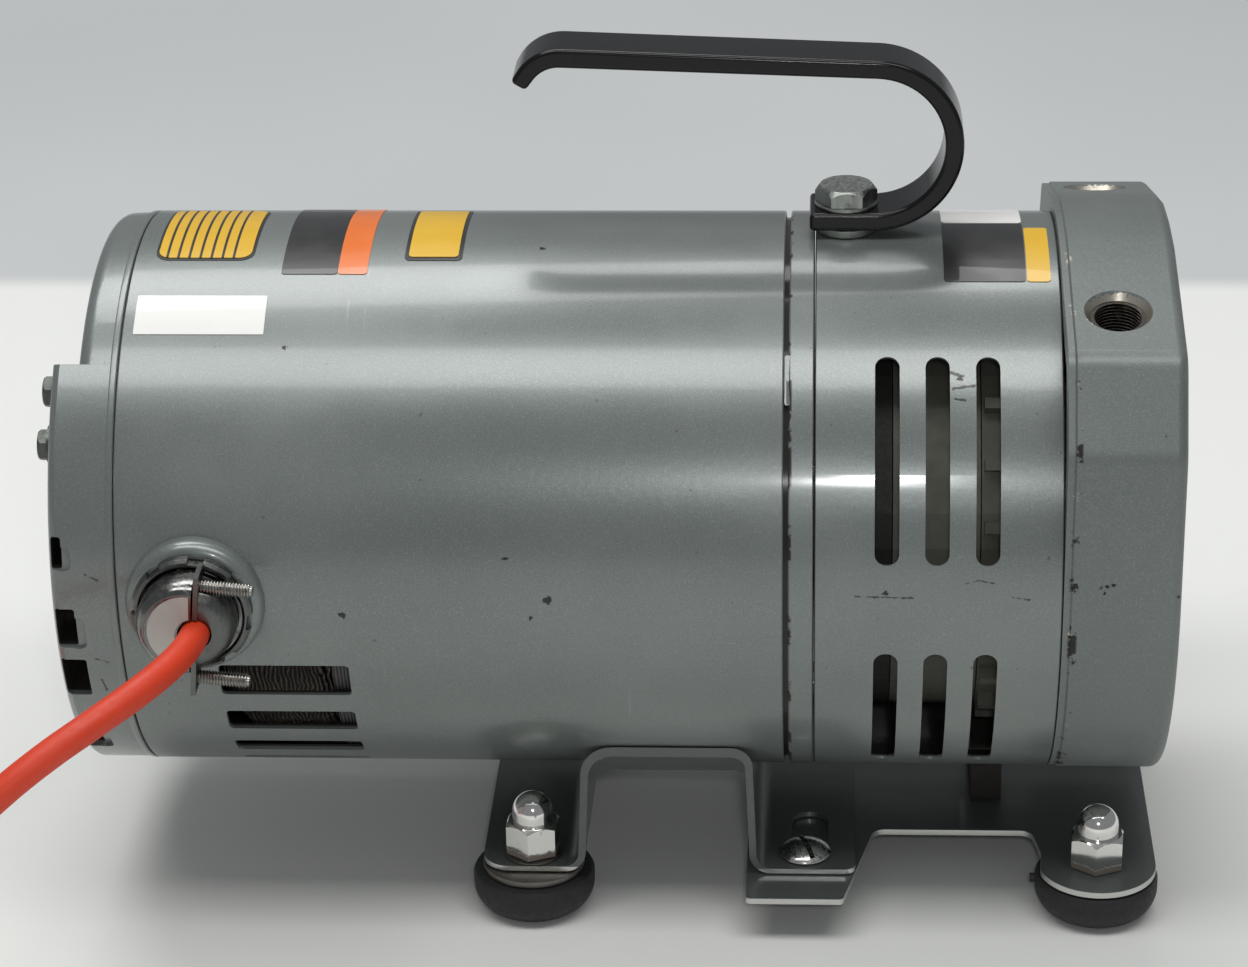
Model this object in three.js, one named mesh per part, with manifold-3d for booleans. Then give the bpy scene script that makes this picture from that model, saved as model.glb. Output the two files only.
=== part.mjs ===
// A rotary vane vacuum pump: motor, direct-drive vane pump, carrying handle and footed base.
// Millimetres, +Z up, +X towards the pump end. The origin is on the floor under the middle.
import * as THREE from "three";
import { mergeVertices } from "three/addons/utils/BufferGeometryUtils.js";
import Module from "manifold-3d";

const wasm = await Module();
wasm.setup();

// Driving dimensions
const GAP = 0.3;
const AXIS_HEIGHT = 109.1;
const BODY_RADIUS = 79.4;
const SHELL_WALL = 1.6;
const SHROUD_WALL = 1.2;
const SPIGOT_RADIUS = 77.4;
const REAR_END = -150.2;
const SHELL_REAR = -132.1;
const BELL_SHELF = { ledge: 33, well: 24, rise: 45.9 };
const SHELL_FRONT = 48.6;
const BELL_RIM = [50, 56.7];
const SHROUD_SPAN = [57, 123.4];
const CAP_SPAN = [125.5, 155.2];
const SHAFT_RADIUS = 7.95;
const BORE_RADIUS = SHAFT_RADIUS + GAP;
const BEARING_RADIUS = 20;
const PUMP_BORE = 36;
const PUMP_ROTOR_RADIUS = 32;
const PUMP_OFFSET = PUMP_BORE - PUMP_ROTOR_RADIUS - GAP;
const PUMP_SPAN = [78.3, 102];
const VANE_COUNT = 4;
const VANE_HEIGHT = 14;
const VANE_THICKNESS = 4;
const VANE_TRAVEL = 6;
const FAN_BLADES = 10;
const SHEET = 2;
const SADDLE_RADIUS = BODY_RADIUS + 2 * GAP;
const FOOT_Y = 50.8;
const FOOT_RADIUS = 17.45;
const FOOT_HEIGHT = 12.7;
const FOOT_EDGE = 8;
const STUD_RADIUS = 3.2;
const NUT_FLATS = 14.3;
const BOLT_FLATS = 15;
const PORT_RADIUS = 6.85;
const PORT_TILT = THREE.MathUtils.degToRad(14.5);
const PORTS = { front: [137.8, -48, 74.1], rear: [137.8, 48, 74.1] };
const HANDLE_WIDTH = 18;
const HANDLE_THICKNESS = 5.2;
const HANDLE_LOOP = [73, 106.3];
const HANDLE_LOOP_RADIUS = 24.6;
const HANDLE_BOLT_X = 65.4;
const GLAND = [-110.5, 1];
const CORD_EXIT = [2.4, -1];
const CLAMP_TURN = 5;
const CLAMP_SCREWS = { upper: 11.5, lower: -15.6 };
const CORD_DIAMETER = 8;
const SIDES = 40;
const CORD_SIDES = 10;
const COIL_RADIUS = 46;
const COIL_CENTRE = [-290, -100.7];
const PLUG_START = -329;
const PLUG_RADIUS = 13.9;

const PAINT = { color: 0x7d8886, roughness: 0.45, metalness: 0.3 };
const STEEL = { color: 0xb4b6b5, roughness: 0.3, metalness: 1 };
const CAST = { color: 0x7a766c, roughness: 0.7, metalness: 0.5 };
const LAMINATION = { color: 0x54565a, roughness: 0.6, metalness: 0.7 };
const COPPER = { color: 0x9a4f2c, roughness: 0.5, metalness: 0.4 };
const RUBBER = { color: 0x1a1a1b, roughness: 0.75, metalness: 0 };
const BLACK = { color: 0x121213, roughness: 0.25, metalness: 0.1 };
const GRAPHITE = { color: 0x2c2c2e, roughness: 0.8, metalness: 0 };
const FELT = { color: 0xd8d2c0, roughness: 0.95, metalness: 0 };
const ORANGE = { color: 0xe2502c, roughness: 0.5, metalness: 0 };

const pump = new THREE.Group();
const machine = new THREE.Group();
machine.position.z = AXIS_HEIGHT;
pump.add(machine);

// Solids: a three.js geometry becomes a solid for joining and cutting, and a mesh again.
function solid(geometry) {
  const bare = geometry.index ? geometry.toNonIndexed() : geometry.clone();
  bare.deleteAttribute("normal");
  bare.deleteAttribute("uv");
  const merged = mergeVertices(bare, 1e-4);
  const { array } = merged.attributes.position;
  const mesh = new wasm.Mesh({
    numProp: 3,
    vertProperties: array,
    triVerts: new Uint32Array(merged.index.array),
  });
  return new wasm.Manifold(mesh);
}

function part(name, shape, look, group = machine) {
  const { numProp, vertProperties, triVerts } = shape.getMesh();
  const positions = new THREE.BufferAttribute(vertProperties, numProp);
  const geometry = new THREE.BufferGeometry().setAttribute("position", positions);
  geometry.setIndex(new THREE.BufferAttribute(triVerts, 1));
  geometry.computeVertexNormals();
  const mesh = new THREE.Mesh(geometry, new THREE.MeshStandardMaterial(look));
  mesh.name = name;
  group.add(mesh);
  return mesh;
}

// Turned shapes: [along, radius] corners round the X axis, round Z, or round -Y.
const TURN = {
  x: new THREE.Matrix4().makeRotationZ(-Math.PI / 2),
  z: new THREE.Matrix4().makeRotationX(Math.PI / 2),
  front: new THREE.Matrix4().makeRotationX(Math.PI),
};

function turned(profile, axis = "x", sides = SIDES) {
  const points = profile.map(([along, radius]) => new THREE.Vector2(radius, along));
  if (points[0].x > 0 || points.at(-1).x > 0) points.push(points[0].clone());
  if (THREE.ShapeUtils.area(points) < 0) points.reverse();
  return solid(new THREE.LatheGeometry(points, sides).applyMatrix4(TURN[axis]));
}

function ring(from, to, inner, outer, axis = "x", sides = SIDES) {
  return turned([[from, inner], [to, inner], [to, outer], [from, outer]], axis, sides);
}

function rod(from, to, radius, axis = "x", sides = SIDES) {
  return turned([[to, 0], [to, radius], [from, radius], [from, 0]], axis, sides);
}

// Extruded shapes: an outline in the plane across the axis, from one level to another.
const ALONG = {
  x: new THREE.Matrix4().set(0, 0, 1, 0, 1, 0, 0, 0, 0, 1, 0, 0, 0, 0, 0, 1),
  y: new THREE.Matrix4().set(1, 0, 0, 0, 0, 0, -1, 0, 0, 1, 0, 0, 0, 0, 0, 1),
  z: new THREE.Matrix4(),
};

function prism(outline, from, to, axis = "z") {
  const shape = new THREE.Shape(outline.map(([a, b]) => new THREE.Vector2(a, b)));
  const geometry = new THREE.ExtrudeGeometry(shape, { depth: to - from, bevelEnabled: false });
  geometry.translate(0, 0, axis === "y" ? -to : from);
  return solid(geometry.applyMatrix4(ALONG[axis]));
}

function block([x0, x1], [y0, y1], [z0, z1]) {
  const box = new THREE.BoxGeometry(x1 - x0, y1 - y0, z1 - z0);
  return solid(box.translate((x0 + x1) / 2, (y0 + y1) / 2, (z0 + z1) / 2));
}

function arc(a, b, radius, start, end, steps = 12) {
  return Array.from({ length: steps + 1 }, (_, i) => {
    const angle = THREE.MathUtils.degToRad(start + ((end - start) * i) / steps);
    return [a + radius * Math.cos(angle), b + radius * Math.sin(angle)];
  });
}

// Corners [a, b, radius] of an outline, each one with a radius made an arc.
function rounded(corners, steps = 3) {
  return corners.flatMap(([a, b, radius], i) => {
    if (!radius) return [[a, b]];
    const here = new THREE.Vector2(a, b);
    const back = new THREE.Vector2(...corners.at(i - 1)).sub(here).normalize();
    const ahead = new THREE.Vector2(...corners[(i + 1) % corners.length]).sub(here).normalize();
    const half = Math.acos(THREE.MathUtils.clamp(back.dot(ahead), -1, 1)) / 2;
    const middle = back.clone().add(ahead).setLength(radius / Math.sin(half)).add(here);
    const first = back.multiplyScalar(radius / Math.tan(half)).add(here).sub(middle).angle();
    const last = ahead.multiplyScalar(radius / Math.tan(half)).add(here).sub(middle).angle();
    const turn = Math.atan2(Math.sin(last - first), Math.cos(last - first));
    const degrees = THREE.MathUtils.radToDeg(1);
    return arc(middle.x, middle.y, radius, first * degrees, (first + turn) * degrees, steps);
  });
}

function hexagon(flats) {
  const radius = flats / Math.sqrt(3);
  return arc(0, 0, radius, 30, 330, 5);
}

// Turns a solid about the X axis: angles run from the front, -Y, upwards.
function atAngle(shape, degrees) {
  return shape.rotate([-degrees, 0, 0]);
}

function mirrorY(shape) {
  return shape.mirror([0, 1, 0]);
}

// A ring sector about the X axis, between two angles measured from the front upwards.
function sector([x0, x1], inner, outer, start, end) {
  const steps = Math.ceil((end - start) / 8);
  const outline = [
    ...arc(0, 0, outer, 180 - start, 180 - end, steps),
    ...arc(0, 0, inner, 180 - end, 180 - start, steps),
  ];
  return prism(outline, x0, x1, "x");
}

// Motor
function motorShell() {
  const inner = BODY_RADIUS - SHELL_WALL;
  let shell = ring(SHELL_REAR + GAP, SHELL_FRONT, inner, BODY_RADIUS);
  const vents = [[-14, -22.3], [-27.8, -34.8], [-40.8, -46.8], [-53.5, -57.5]];
  for (const [top, bottom] of vents) {
    const vent = sector([-106, -70], 74, 84, bottom, top);
    shell = shell.subtract(vent).subtract(mirrorY(vent));
  }
  const hole = rod(70, 90, 11, "front", 32).translate([GLAND[0], 0, GLAND[1]]);
  return shell.subtract(hole);
}

function rearEndBell() {
  // Everything above a shallow V: the casting is stepped back there.
  const shelf = (level) => prism([
    [-90, level + BELL_SHELF.rise], [0, level], [90, level + BELL_SHELF.rise], [90, 120], [-90, 120],
  ], -160, -120, "x");
  const wall = REAR_END + 2.5;
  const rim = ring(-126, SHELL_REAR, 74, SPIGOT_RADIUS)
    .add(ring(SHELL_REAR, -134.3, 70, BODY_RADIUS));
  const low = turned([
    [-134, 0], [REAR_END, 0], [REAR_END, 77], [-148.2, 79], [-134, 79],
  ]).subtract(shelf(BELL_SHELF.ledge));
  const high = turned([
    [-134, 0], [-143.5, 0], [-143.5, 73.5], [-142, 77], [-138.5, 78.7], [-134, 78.7],
  ]);
  const hollow = ring(-139, -120, 26, 74, "x", 32);
  const well = ring(wall, -130, 26, 74, "x", 32).subtract(shelf(BELL_SHELF.well));
  const hub = rod(-142, -128, 25, "x", 24);
  const pocket = rod(-142, -120, BEARING_RADIUS + GAP, "x", 24)
    .add(rod(-146, -120, SHAFT_RADIUS + 1, "x", 16));
  let bell = low.add(high).subtract(hollow).subtract(well).add(rim).add(hub).subtract(pocket);
  const notches = [
    [14.1, 7.4, -146.5], [-1, -10, -144], [-13, -23, -142.3], [-36, -46, -144],
  ];
  for (const [top, bottom, depth] of notches) {
    const notch = sector([REAR_END + 0.8, depth], 68, 82, bottom, top);
    bell = bell.subtract(notch).subtract(mirrorY(notch));
  }
  return bell;
}

function driveEndBell() {
  let bell = turned([
    [28, BEARING_RADIUS + GAP], [28, 25], [43, 25], [43, 73], [36, 73], [36, SPIGOT_RADIUS],
    [BELL_RIM[0], SPIGOT_RADIUS], [BELL_RIM[0], BODY_RADIUS], [BELL_RIM[1], BODY_RADIUS],
    [BELL_RIM[1], 74], [48, 74], [48, 9], [41, 9], [41, BEARING_RADIUS + GAP],
  ], "x", 32);
  for (const middle of [0, 90, 180, 270]) {
    bell = bell.subtract(sector([40, 50], 32, 66, middle - 30, middle + 30));
  }
  return bell.add(sector([SHELL_FRONT + GAP, BELL_RIM[0] + 1], 76, BODY_RADIUS, 40.6, 51.1));
}

function winding(from, to) {
  const edge = 5;
  return turned([
    [from, 52], [from, 66], [from + edge, 71], [to - edge, 71],
    [to, 66], [to, 52], [to - edge, 48], [from + edge, 48],
  ], "x", 24);
}

part("motor_shell", motorShell(), PAINT);
part("rear_end_bell", rearEndBell(), PAINT);
part("rear_cover_plate",
  rod(REAR_END - 1.3, REAR_END - GAP, 36.5, "x", 40).translate([0, 0, -8.5]), BLACK);
for (const [index, [y, z]] of [[-46, 48.8], [-58, 38.2]].entries()) {
  const head = prism(hexagon(8), REAR_END - 4, REAR_END - GAP, "x").translate([0, y, z]);
  part(`end_bolt_${index + 1}`, head, STEEL);
}
part("drive_end_bell", driveEndBell(), PAINT);
part("stator_core", ring(-75, 2, 45, SPIGOT_RADIUS), LAMINATION);
part("rear_winding", winding(-108, -75 - GAP), COPPER);
part("front_winding", winding(2 + GAP, 30), COPPER);
part("rear_bearing", ring(-141.6, -129.6, BORE_RADIUS, BEARING_RADIUS, "x", 24), STEEL);
part("front_bearing", ring(28.6, 40.6, BORE_RADIUS, BEARING_RADIUS, "x", 24), STEEL);

// Everything that turns with the shaft
function coolingFan() {
  let fan = ring(60, 71, BORE_RADIUS, 15, "x", 20).add(ring(60, 61.5, 14, 64, "x", 24));
  for (let blade = 0; blade < FAN_BLADES; blade++) {
    const vane = block([61, 71], [-63.5, -14], [-1, 1]);
    fan = fan.add(atAngle(vane, (blade * 360) / FAN_BLADES));
  }
  return fan;
}

function pumpRotor() {
  const [start, end] = [PUMP_SPAN[0] + GAP, PUMP_SPAN[1] - GAP];
  let rotor = ring(start, end, BORE_RADIUS, PUMP_ROTOR_RADIUS, "x", 40);
  const depth = VANE_HEIGHT + VANE_TRAVEL + GAP;
  const half = VANE_THICKNESS / 2 + GAP;
  for (let i = 0; i < VANE_COUNT; i++) {
    const slot = block([start - 1, end + 1], [-40, depth - PUMP_ROTOR_RADIUS], [-half, half]);
    rotor = rotor.subtract(atAngle(slot, (i * 360) / VANE_COUNT));
  }
  return rotor;
}

part("shaft", rod(-144, 101, SHAFT_RADIUS, "x", 24), STEEL);
part("motor_rotor", ring(-78, 5, BORE_RADIUS, 44.4, "x", 24), LAMINATION);
part("switch_collar", ring(-100, -88, BORE_RADIUS, 16, "x", 24), GRAPHITE);
part("cooling_fan", coolingFan(), BLACK);
part("pump_rotor", pumpRotor(), STEEL);
for (let i = 0; i < VANE_COUNT; i++) {
  const outer = PUMP_ROTOR_RADIUS - GAP;
  const half = VANE_THICKNESS / 2;
  const span = [PUMP_SPAN[0] + 2 * GAP, PUMP_SPAN[1] - 2 * GAP];
  const vane = block(span, [-outer, VANE_HEIGHT - outer], [-half, half]);
  part(`vane_${i + 1}`, atAngle(vane, (i * 360) / VANE_COUNT), GRAPHITE);
}

// Pump casing and shroud
function pumpBody() {
  const bore = rod(70, 110, PUMP_BORE, "x", 48).translate([0, 0, PUMP_OFFSET]);
  return rod(PUMP_SPAN[0], PUMP_SPAN[1], 62).subtract(bore);
}

function innerEndPlate() {
  return ring(73.5, PUMP_SPAN[0] - GAP, SHAFT_RADIUS + 1, 62);
}

function outerEndPlate() {
  let plate = rod(PUMP_SPAN[1] + GAP, 112, 62);
  for (let angle = 0; angle < 360; angle += 15) {
    plate = plate.add(atAngle(block([103, 112], [-66, -60], [-1.5, 1.5]), angle));
  }
  const foot = block([103, 112], [-16, 16], [-93.9, -50]);
  return plate.add(foot);
}

function shroud() {
  const [from, to] = SHROUD_SPAN;
  let cover = ring(from, to, BODY_RADIUS - SHROUD_WALL, BODY_RADIUS);
  for (const [x0, x1] of [[73.1, 79.7], [86.6, 93.1], [100.1, 106.6]]) {
    const radius = (x1 - x0) / 2;
    for (const [start, end] of [[11.6, 48.5], [-12.3, -48.2]]) {
      const slot = sector([x0, x1], 74, 84, Math.min(start, end), Math.max(start, end));
      const tip = rod(74, 84, radius, "front", 12).translate([x0 + radius, 0, 0]);
      const whole = slot.add(atAngle(tip, start)).add(atAngle(tip, end));
      cover = cover.subtract(whole).subtract(mirrorY(whole));
    }
  }
  const window = block([101, 114], [-18, 18], [-90, -60]);
  const boltHole = rod(60, 90, 4.6, "z", 20).translate([HANDLE_BOLT_X, 0, 0]);
  return cover.subtract(window).subtract(boltHole);
}

part("pump_body", pumpBody(), CAST);
part("inner_end_plate", innerEndPlate(), CAST);
part("outer_end_plate", outerEndPlate(), CAST);
part("shroud", shroud(), PAINT);

// End cap: flat bevels carry the two ports, and a rib parts the inlet from the outlet
function capOutline(inset) {
  const side = 79.8 - inset;
  const corner = [67.7 - inset * 0.8, 69 - inset * 0.9];
  const bevel = [34, 77.7 - inset];
  const crown = 83 - inset;
  const right = [[side, 0], [side, 45 - inset / 2], [corner[0], corner[1], 4], bevel];
  const left = right.map(([y, z, radius]) => [-y, z, radius]).reverse();
  const top = rounded([...right, [17, crown - 1], [0, crown], [-17, crown - 1], ...left]);
  return [...top, ...arc(0, 0, side, 180, 360, 24).slice(1, -1)];
}

function endCap() {
  const [from, to] = CAP_SPAN;
  const wall = 4;
  const hollow = prism(capOutline(wall), from - 1, to - wall, "x");
  const rib = block([from, to - wall + 1], [-2, 2], [-76, 78]);
  let cap = prism(capOutline(0), from, to, "x").subtract(hollow).add(rib);
  for (const [x, y, z] of Object.values(PORTS)) {
    const tilt = (-Math.sign(y) * PORT_TILT * 180) / Math.PI;
    const boss = rod(-13, -1, 11, "z", 24).rotate([tilt, 0, 0]).translate([x, y, z]);
    const room = prism(capOutline(1), from, to - 1, "x");
    cap = cap.add(boss.intersect(room));
  }
  for (const [x, y, z] of Object.values(PORTS)) {
    const tilt = (-Math.sign(y) * PORT_TILT * 180) / Math.PI;
    const bore = rod(-16, 2, PORT_RADIUS, "z", 32)
      .add(turned([[1, 0], [1, 9.8], [-1, 6.8], [-1, 0]], "z", 32));
    cap = cap.subtract(bore.rotate([tilt, 0, 0]).translate([x, y, z]));
  }
  for (const y of [-30, 30]) {
    cap = cap.subtract(rod(to - 6, to + 1, 3.6, "x", 16).translate([0, y, -20]));
  }
  return cap;
}

part("cap_gasket", prism(capOutline(0.4), SHROUD_SPAN[1] + GAP, CAP_SPAN[0] - GAP, "x"), PAINT);
part("end_cap", endCap(), PAINT);
for (const [name, side] of [["inlet_felt", -1], ["outlet_felt", 1]]) {
  const felt = rod(CAP_SPAN[0] + GAP, CAP_SPAN[1] - 4 - GAP, 16, "x", 24);
  part(name, felt.translate([0, side * 34, 30]), FELT);
}
for (const [index, y] of [-30, 30].entries()) {
  const bolt = prism(hexagon(6), CAP_SPAN[1] - 3.6, CAP_SPAN[1] - 0.1, "x");
  part(`cap_bolt_${index + 1}`, bolt.translate([0, y, -20]), STEEL);
}

// Handle: a bent strap held by one bolt through the shroud
function handle() {
  const [loopX, loopZ] = HANDLE_LOOP;
  const inner = HANDLE_LOOP_RADIUS - HANDLE_THICKNESS;
  const outline = rounded([
    [-26.5, 125], [-20.7, 134.8, 14], ...arc(loopX, loopZ, HANDLE_LOOP_RADIUS, 87.6, -90, 14),
    [55.3, 81.7], [55.3, 81.7 + HANDLE_THICKNESS],
    ...arc(loopX, loopZ, inner, -90, 87.6, 12), [-17.5, 129.2, 8.8], [-22.5, 122.6],
  ]);
  const strap = prism(outline, -HANDLE_WIDTH / 2, HANDLE_WIDTH / 2, "y");
  return strap.subtract(rod(78, 90, 4.6, "z", 20).translate([HANDLE_BOLT_X, 0, 0]));
}

function handleBolt() {
  const head = prism(hexagon(BOLT_FLATS), 88.1, 92.6).rotate([0, 0, 30]);
  return head.add(rod(68, 89, 4, "z", 20)).translate([HANDLE_BOLT_X, 0, 0]);
}

function onBolt(shape) {
  return shape.translate([HANDLE_BOLT_X, 0, 0]);
}

part("handle", handle(), BLACK);
part("handle_bolt", handleBolt(), STEEL);
part("handle_washer", onBolt(ring(87.2, 87.8, 4.4, 8.75, "z", 16)), STEEL);
part("handle_spacer", onBolt(ring(79.75, 81.4, 4.4, 8.5, "z", 16)), STEEL);
const nutBlank = prism(hexagon(NUT_FLATS), 70.5, 77.4);
part("handle_nut", onBolt(nutBlank.subtract(rod(60, 80, 4.3, "z", 20))), STEEL);

// Base: a bent cradle under the motor, lapped over a flat plate under the pump
const SHEET_LEVEL = { plate: -96.4, flange: -94.4 };
const FOOT_X = [-23.3, 137.8];
const SCREW = [54.6, 50.5];

// Closed loops of [x, z] at each station of y, joined into one body.
function loft(stations) {
  const count = stations[0].loop.length;
  const positions = stations.flatMap(({ y, loop }) => loop.flatMap(([x, z]) => [x, y, z]));
  const faces = [];
  for (let s = 0; s + 1 < stations.length; s++) {
    for (let i = 0; i < count; i++) {
      const [a, b] = [s * count + i, s * count + ((i + 1) % count)];
      faces.push(b, a, a + count, b + count, b, a + count);
    }
  }
  const flat = stations[0].loop.map(([x, z]) => new THREE.Vector2(x, z));
  const lids = THREE.ShapeUtils.triangulateShape(flat, []);
  const last = (stations.length - 1) * count;
  for (const [a, b, c] of lids) faces.push(a, b, c, last + c, last + b, last + a);
  const geometry = new THREE.BufferGeometry();
  geometry.setAttribute("position", new THREE.Float32BufferAttribute(positions, 3));
  return solid(geometry.setIndex(faces));
}

function cradleLoop(y) {
  const top = -Math.sqrt(SADDLE_RADIUS ** 2 - y ** 2);
  const under = -Math.sqrt((SADDLE_RADIUS + SHEET) ** 2 - y ** 2);
  const low = SHEET_LEVEL.flange + GAP;
  const high = low + SHEET - GAP;
  const above = [
    [-38, high], [-10, high, 4.4], [-8.2, top, 9], [39.7, top, 6], [41.1, high, 4.5], [70, high],
  ];
  const below = [
    [70, low], [39.1, low, 6.5], [37.7, under, 4], [-6.2, under, 7], [-8, low, 6.4], [-38, low],
  ];
  return rounded([...above, ...below]).reverse();
}

function cradle() {
  const reach = 59.5;
  const steps = 10;
  const swing = Math.asin(reach / SADDLE_RADIUS);
  const stations = Array.from({ length: steps + 1 }, (_, i) => {
    const y = SADDLE_RADIUS * Math.sin(swing * ((2 * i) / steps - 1));
    return { y, loop: cradleLoop(y) };
  });
  const half = [[69, -reach, 3], [-37.5, -reach, 8]];
  const plan = rounded([...half, ...half.map(([x, y, r]) => [x, -y, r]).reverse()]);
  let sheet = loft(stations).intersect(prism(plan, -100, 0));
  for (const side of [-1, 1]) {
    const slot = block([50.7, 61.2], [32.2, 44.8], [-99, -80])
      .add(rod(-99, -80, 5.25, "z", 16).translate([55.95, 32.2, 0]))
      .add(rod(-99, -80, 5.25, "z", 16).translate([55.95, 44.8, 0]))
      .add(rod(-99, -80, 3.3, "z", 12).translate([SCREW[0], SCREW[1], 0]));
    const stud = rod(-99, -80, STUD_RADIUS + GAP, "z", 12).translate([FOOT_X[0], FOOT_Y, 0]);
    const cuts = slot.add(stud);
    sheet = sheet.subtract(side < 0 ? mirrorY(cuts) : cuts);
  }
  return sheet;
}

function basePlate() {
  const half = [
    [38, -72.5, 1], [65.4, -72.5, 1], [74.6, -33.2, 3], [120, -33.2, 4], [122.2, -46, 6],
    ...arc(FOOT_X[1], -FOOT_Y, 16.8, 195, 360, 10),
  ];
  const mirror = half.map(([x, y, r]) => [x, -y, r]).reverse();
  let plate = prism(rounded([...half, ...mirror]), SHEET_LEVEL.plate, SHEET_LEVEL.plate + SHEET);
  for (const side of [-1, 1]) {
    const hole = rod(-99, -80, STUD_RADIUS + GAP, "z", 12);
    const foot = hole.translate([FOOT_X[1], side * FOOT_Y, 0]);
    plate = plate.subtract(foot).subtract(hole.translate([SCREW[0], side * SCREW[1], 0]));
  }
  return plate;
}

function cradleScrew() {
  const seat = SHEET_LEVEL.flange + SHEET + GAP;
  const head = turned([
    [seat, 0], [seat, 7.5], [seat + 0.8, 7.5], [seat + 2.4, 5.2], [seat + 3.3, 2.4], [seat + 3.5, 0],
  ], "z", 20);
  const slot = block([-9, 9], [-0.7, 0.7], [seat + 2, seat + 5]).rotate([0, 0, 110]);
  return head.add(rod(-98.5, seat + 0.5, 2.9, "z", 12)).subtract(slot);
}

function rubberFoot() {
  const floor = -AXIS_HEIGHT;
  const curve = arc(FOOT_RADIUS - FOOT_EDGE, floor + FOOT_EDGE, FOOT_EDGE, -90, 0, 3);
  const crown = curve.map(([r, z]) => [z, r]);
  const puck = turned([
    [floor, 0], ...crown, [floor + FOOT_HEIGHT - GAP, FOOT_RADIUS], [floor + FOOT_HEIGHT - GAP, 0],
  ], "z", 24);
  return puck.add(rod(floor + FOOT_HEIGHT - 1, -83, STUD_RADIUS, "z", 12));
}

function acornNut(seat) {
  const dome = arc(0, seat + 12.2, 5.9, 0, 90, 4).map(([r, z]) => [z, Math.max(r, 0)]);
  const top = turned([[seat + 8, 0], [seat + 8, 5.9], ...dome], "z", 16);
  const thread = rod(seat - 1, seat + 14, STUD_RADIUS + GAP, "z", 12);
  return prism(hexagon(NUT_FLATS), seat, seat + 9.8).add(top).subtract(thread);
}

const CORNERS = [["front_left", 0, -1], ["front_right", 1, -1], ["rear_left", 0, 1], ["rear_right", 1, 1]];
for (const [name, end, side] of CORNERS) {
  const seat = end === 0 ? -91.4 : SHEET_LEVEL.plate + SHEET + GAP;
  const place = (shape) => shape.translate([FOOT_X[end], side * FOOT_Y, 0]);
  part(`foot_${name}`, place(rubberFoot()), RUBBER);
  part(`acorn_nut_${name}`, place(acornNut(seat)), STEEL);
  if (end === 1) continue;
  const inner = STUD_RADIUS + GAP;
  part(`foot_washer_${name}`, place(ring(-96.4, -94.5, inner, 14.6, "z", 16)), STEEL);
  part(`nut_washer_${name}`, place(ring(-92.1, -91.7, inner, 8.7, "z", 16)), STEEL);
}
part("motor_cradle", cradle(), PAINT);
part("base_plate", basePlate(), PAINT);
for (const [name, side] of [["front", -1], ["rear", 1]]) {
  part(`cradle_screw_${name}`, cradleScrew().translate([SCREW[0], side * SCREW[1], 0]), STEEL);
}

// Cord gland: a clamp connector through a ring on the shell
const gland = new THREE.Group();
gland.position.set(GLAND[0], 0, GLAND[1]);
machine.add(gland);
const GRIP = CORD_DIAMETER / 2 + 2 * GAP;

function glandRing() {
  const boss = turned([
    [70, 14.8], [83, 14.8], [83.4, 15.6], [83.2, 17], [82, 18.3], [80, 19], [70, 19],
  ], "front", 28);
  return boss.subtract(rod(-150, 0, BODY_RADIUS + GAP).translate([40, 0, -GLAND[1]]));
}

function glandNut() {
  let nut = ring(84, 87, 14.3, 16.5, "front", 24);
  for (let angle = 0; angle < 360; angle += 45) {
    nut = nut.subtract(block([15, 18], [-88, -83], [-2.2, 2.2]).rotate([0, angle, 0]));
  }
  return nut;
}

function glandBody() {
  const throat = rod(60, 110, GRIP, "front", 16).translate([CORD_EXIT[0], 0, CORD_EXIT[1]]);
  const tube = rod(72, 82, 10.6, "front", 20);
  const barrel = rod(82, 92, 13.9, "front", 24);
  const saddle = turned([[92, 0], [92, 13.9], [95.5, 12.5], [97, 10], [97, 0]].reverse(), "front", 24);
  const left = block([-20, CORD_EXIT[0] - 1], [-100, -84], [-20, 20]).rotate([0, CLAMP_TURN, 0]);
  const right = block([CORD_EXIT[0] - 2, 25], [-100, -86.5], [-20, 20]).rotate([0, CLAMP_TURN, 0]);
  return tube.add(barrel.add(saddle).subtract(right)).add(barrel.add(saddle).intersect(left))
    .subtract(throat);
}

function glandStrap() {
  const [x, z] = CORD_EXIT;
  const ears = block([x - 0.5, x + 2], [-97, -87.2], [-18.9, 16.3]);
  const shell = rod(87.2, 96, 13, "front", 24).intersect(block([x - 0.5, 20], [-99, -80], [-14, 14]));
  const throat = rod(60, 110, GRIP, "front", 16).translate([x, 0, z]);
  let strap = ears.add(shell);
  for (const level of Object.values(CLAMP_SCREWS)) {
    strap = strap.subtract(rod(x - 10, 20, 2.3, "x", 16).translate([0, -92, level]));
  }
  return strap.rotate([0, CLAMP_TURN, 0]).subtract(throat);
}

part("gland_ring", glandRing(), PAINT, gland);
part("gland_locknut", glandNut(), STEEL, gland);
part("gland_body", glandBody(), STEEL, gland);
part("gland_strap", glandStrap(), STEEL, gland);
for (const [name, z] of Object.entries(CLAMP_SCREWS)) {
  const screw = rod(CORD_EXIT[0] - 0.5, 17.4, 2, "x", 16).translate([0, -92, z]);
  part(`gland_screw_${name}`, screw.rotate([0, CLAMP_TURN, 0]), STEEL, gland);
}

// Supply cord: down from the gland, along the floor into a coil, and a plug beside the coil
const CORD_ROUTE = [
  [-108.1, -90, 109.1], [-108.1, -97, 109.1], [-109.3, -106.5, 109.2], [-113.2, -117.5, 108.7],
  [-119.5, -128, 107.2], [-128.3, -137.8, 104.2], [-139.5, -146.5, 99], [-151, -153.5, 91.5],
  [-162, -159, 82], [-172, -162.2, 71], [-181, -163.8, 58.5], [-188.8, -164.2, 45],
  [-196, -163.4, 32], [-204.5, -161.6, 19.6], [-215.5, -159.2, 9.8], [-229, -156.9, 4.9],
  [-242.5, -155.3, 4.2], [-258, -154.7, 4.2],
];

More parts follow.
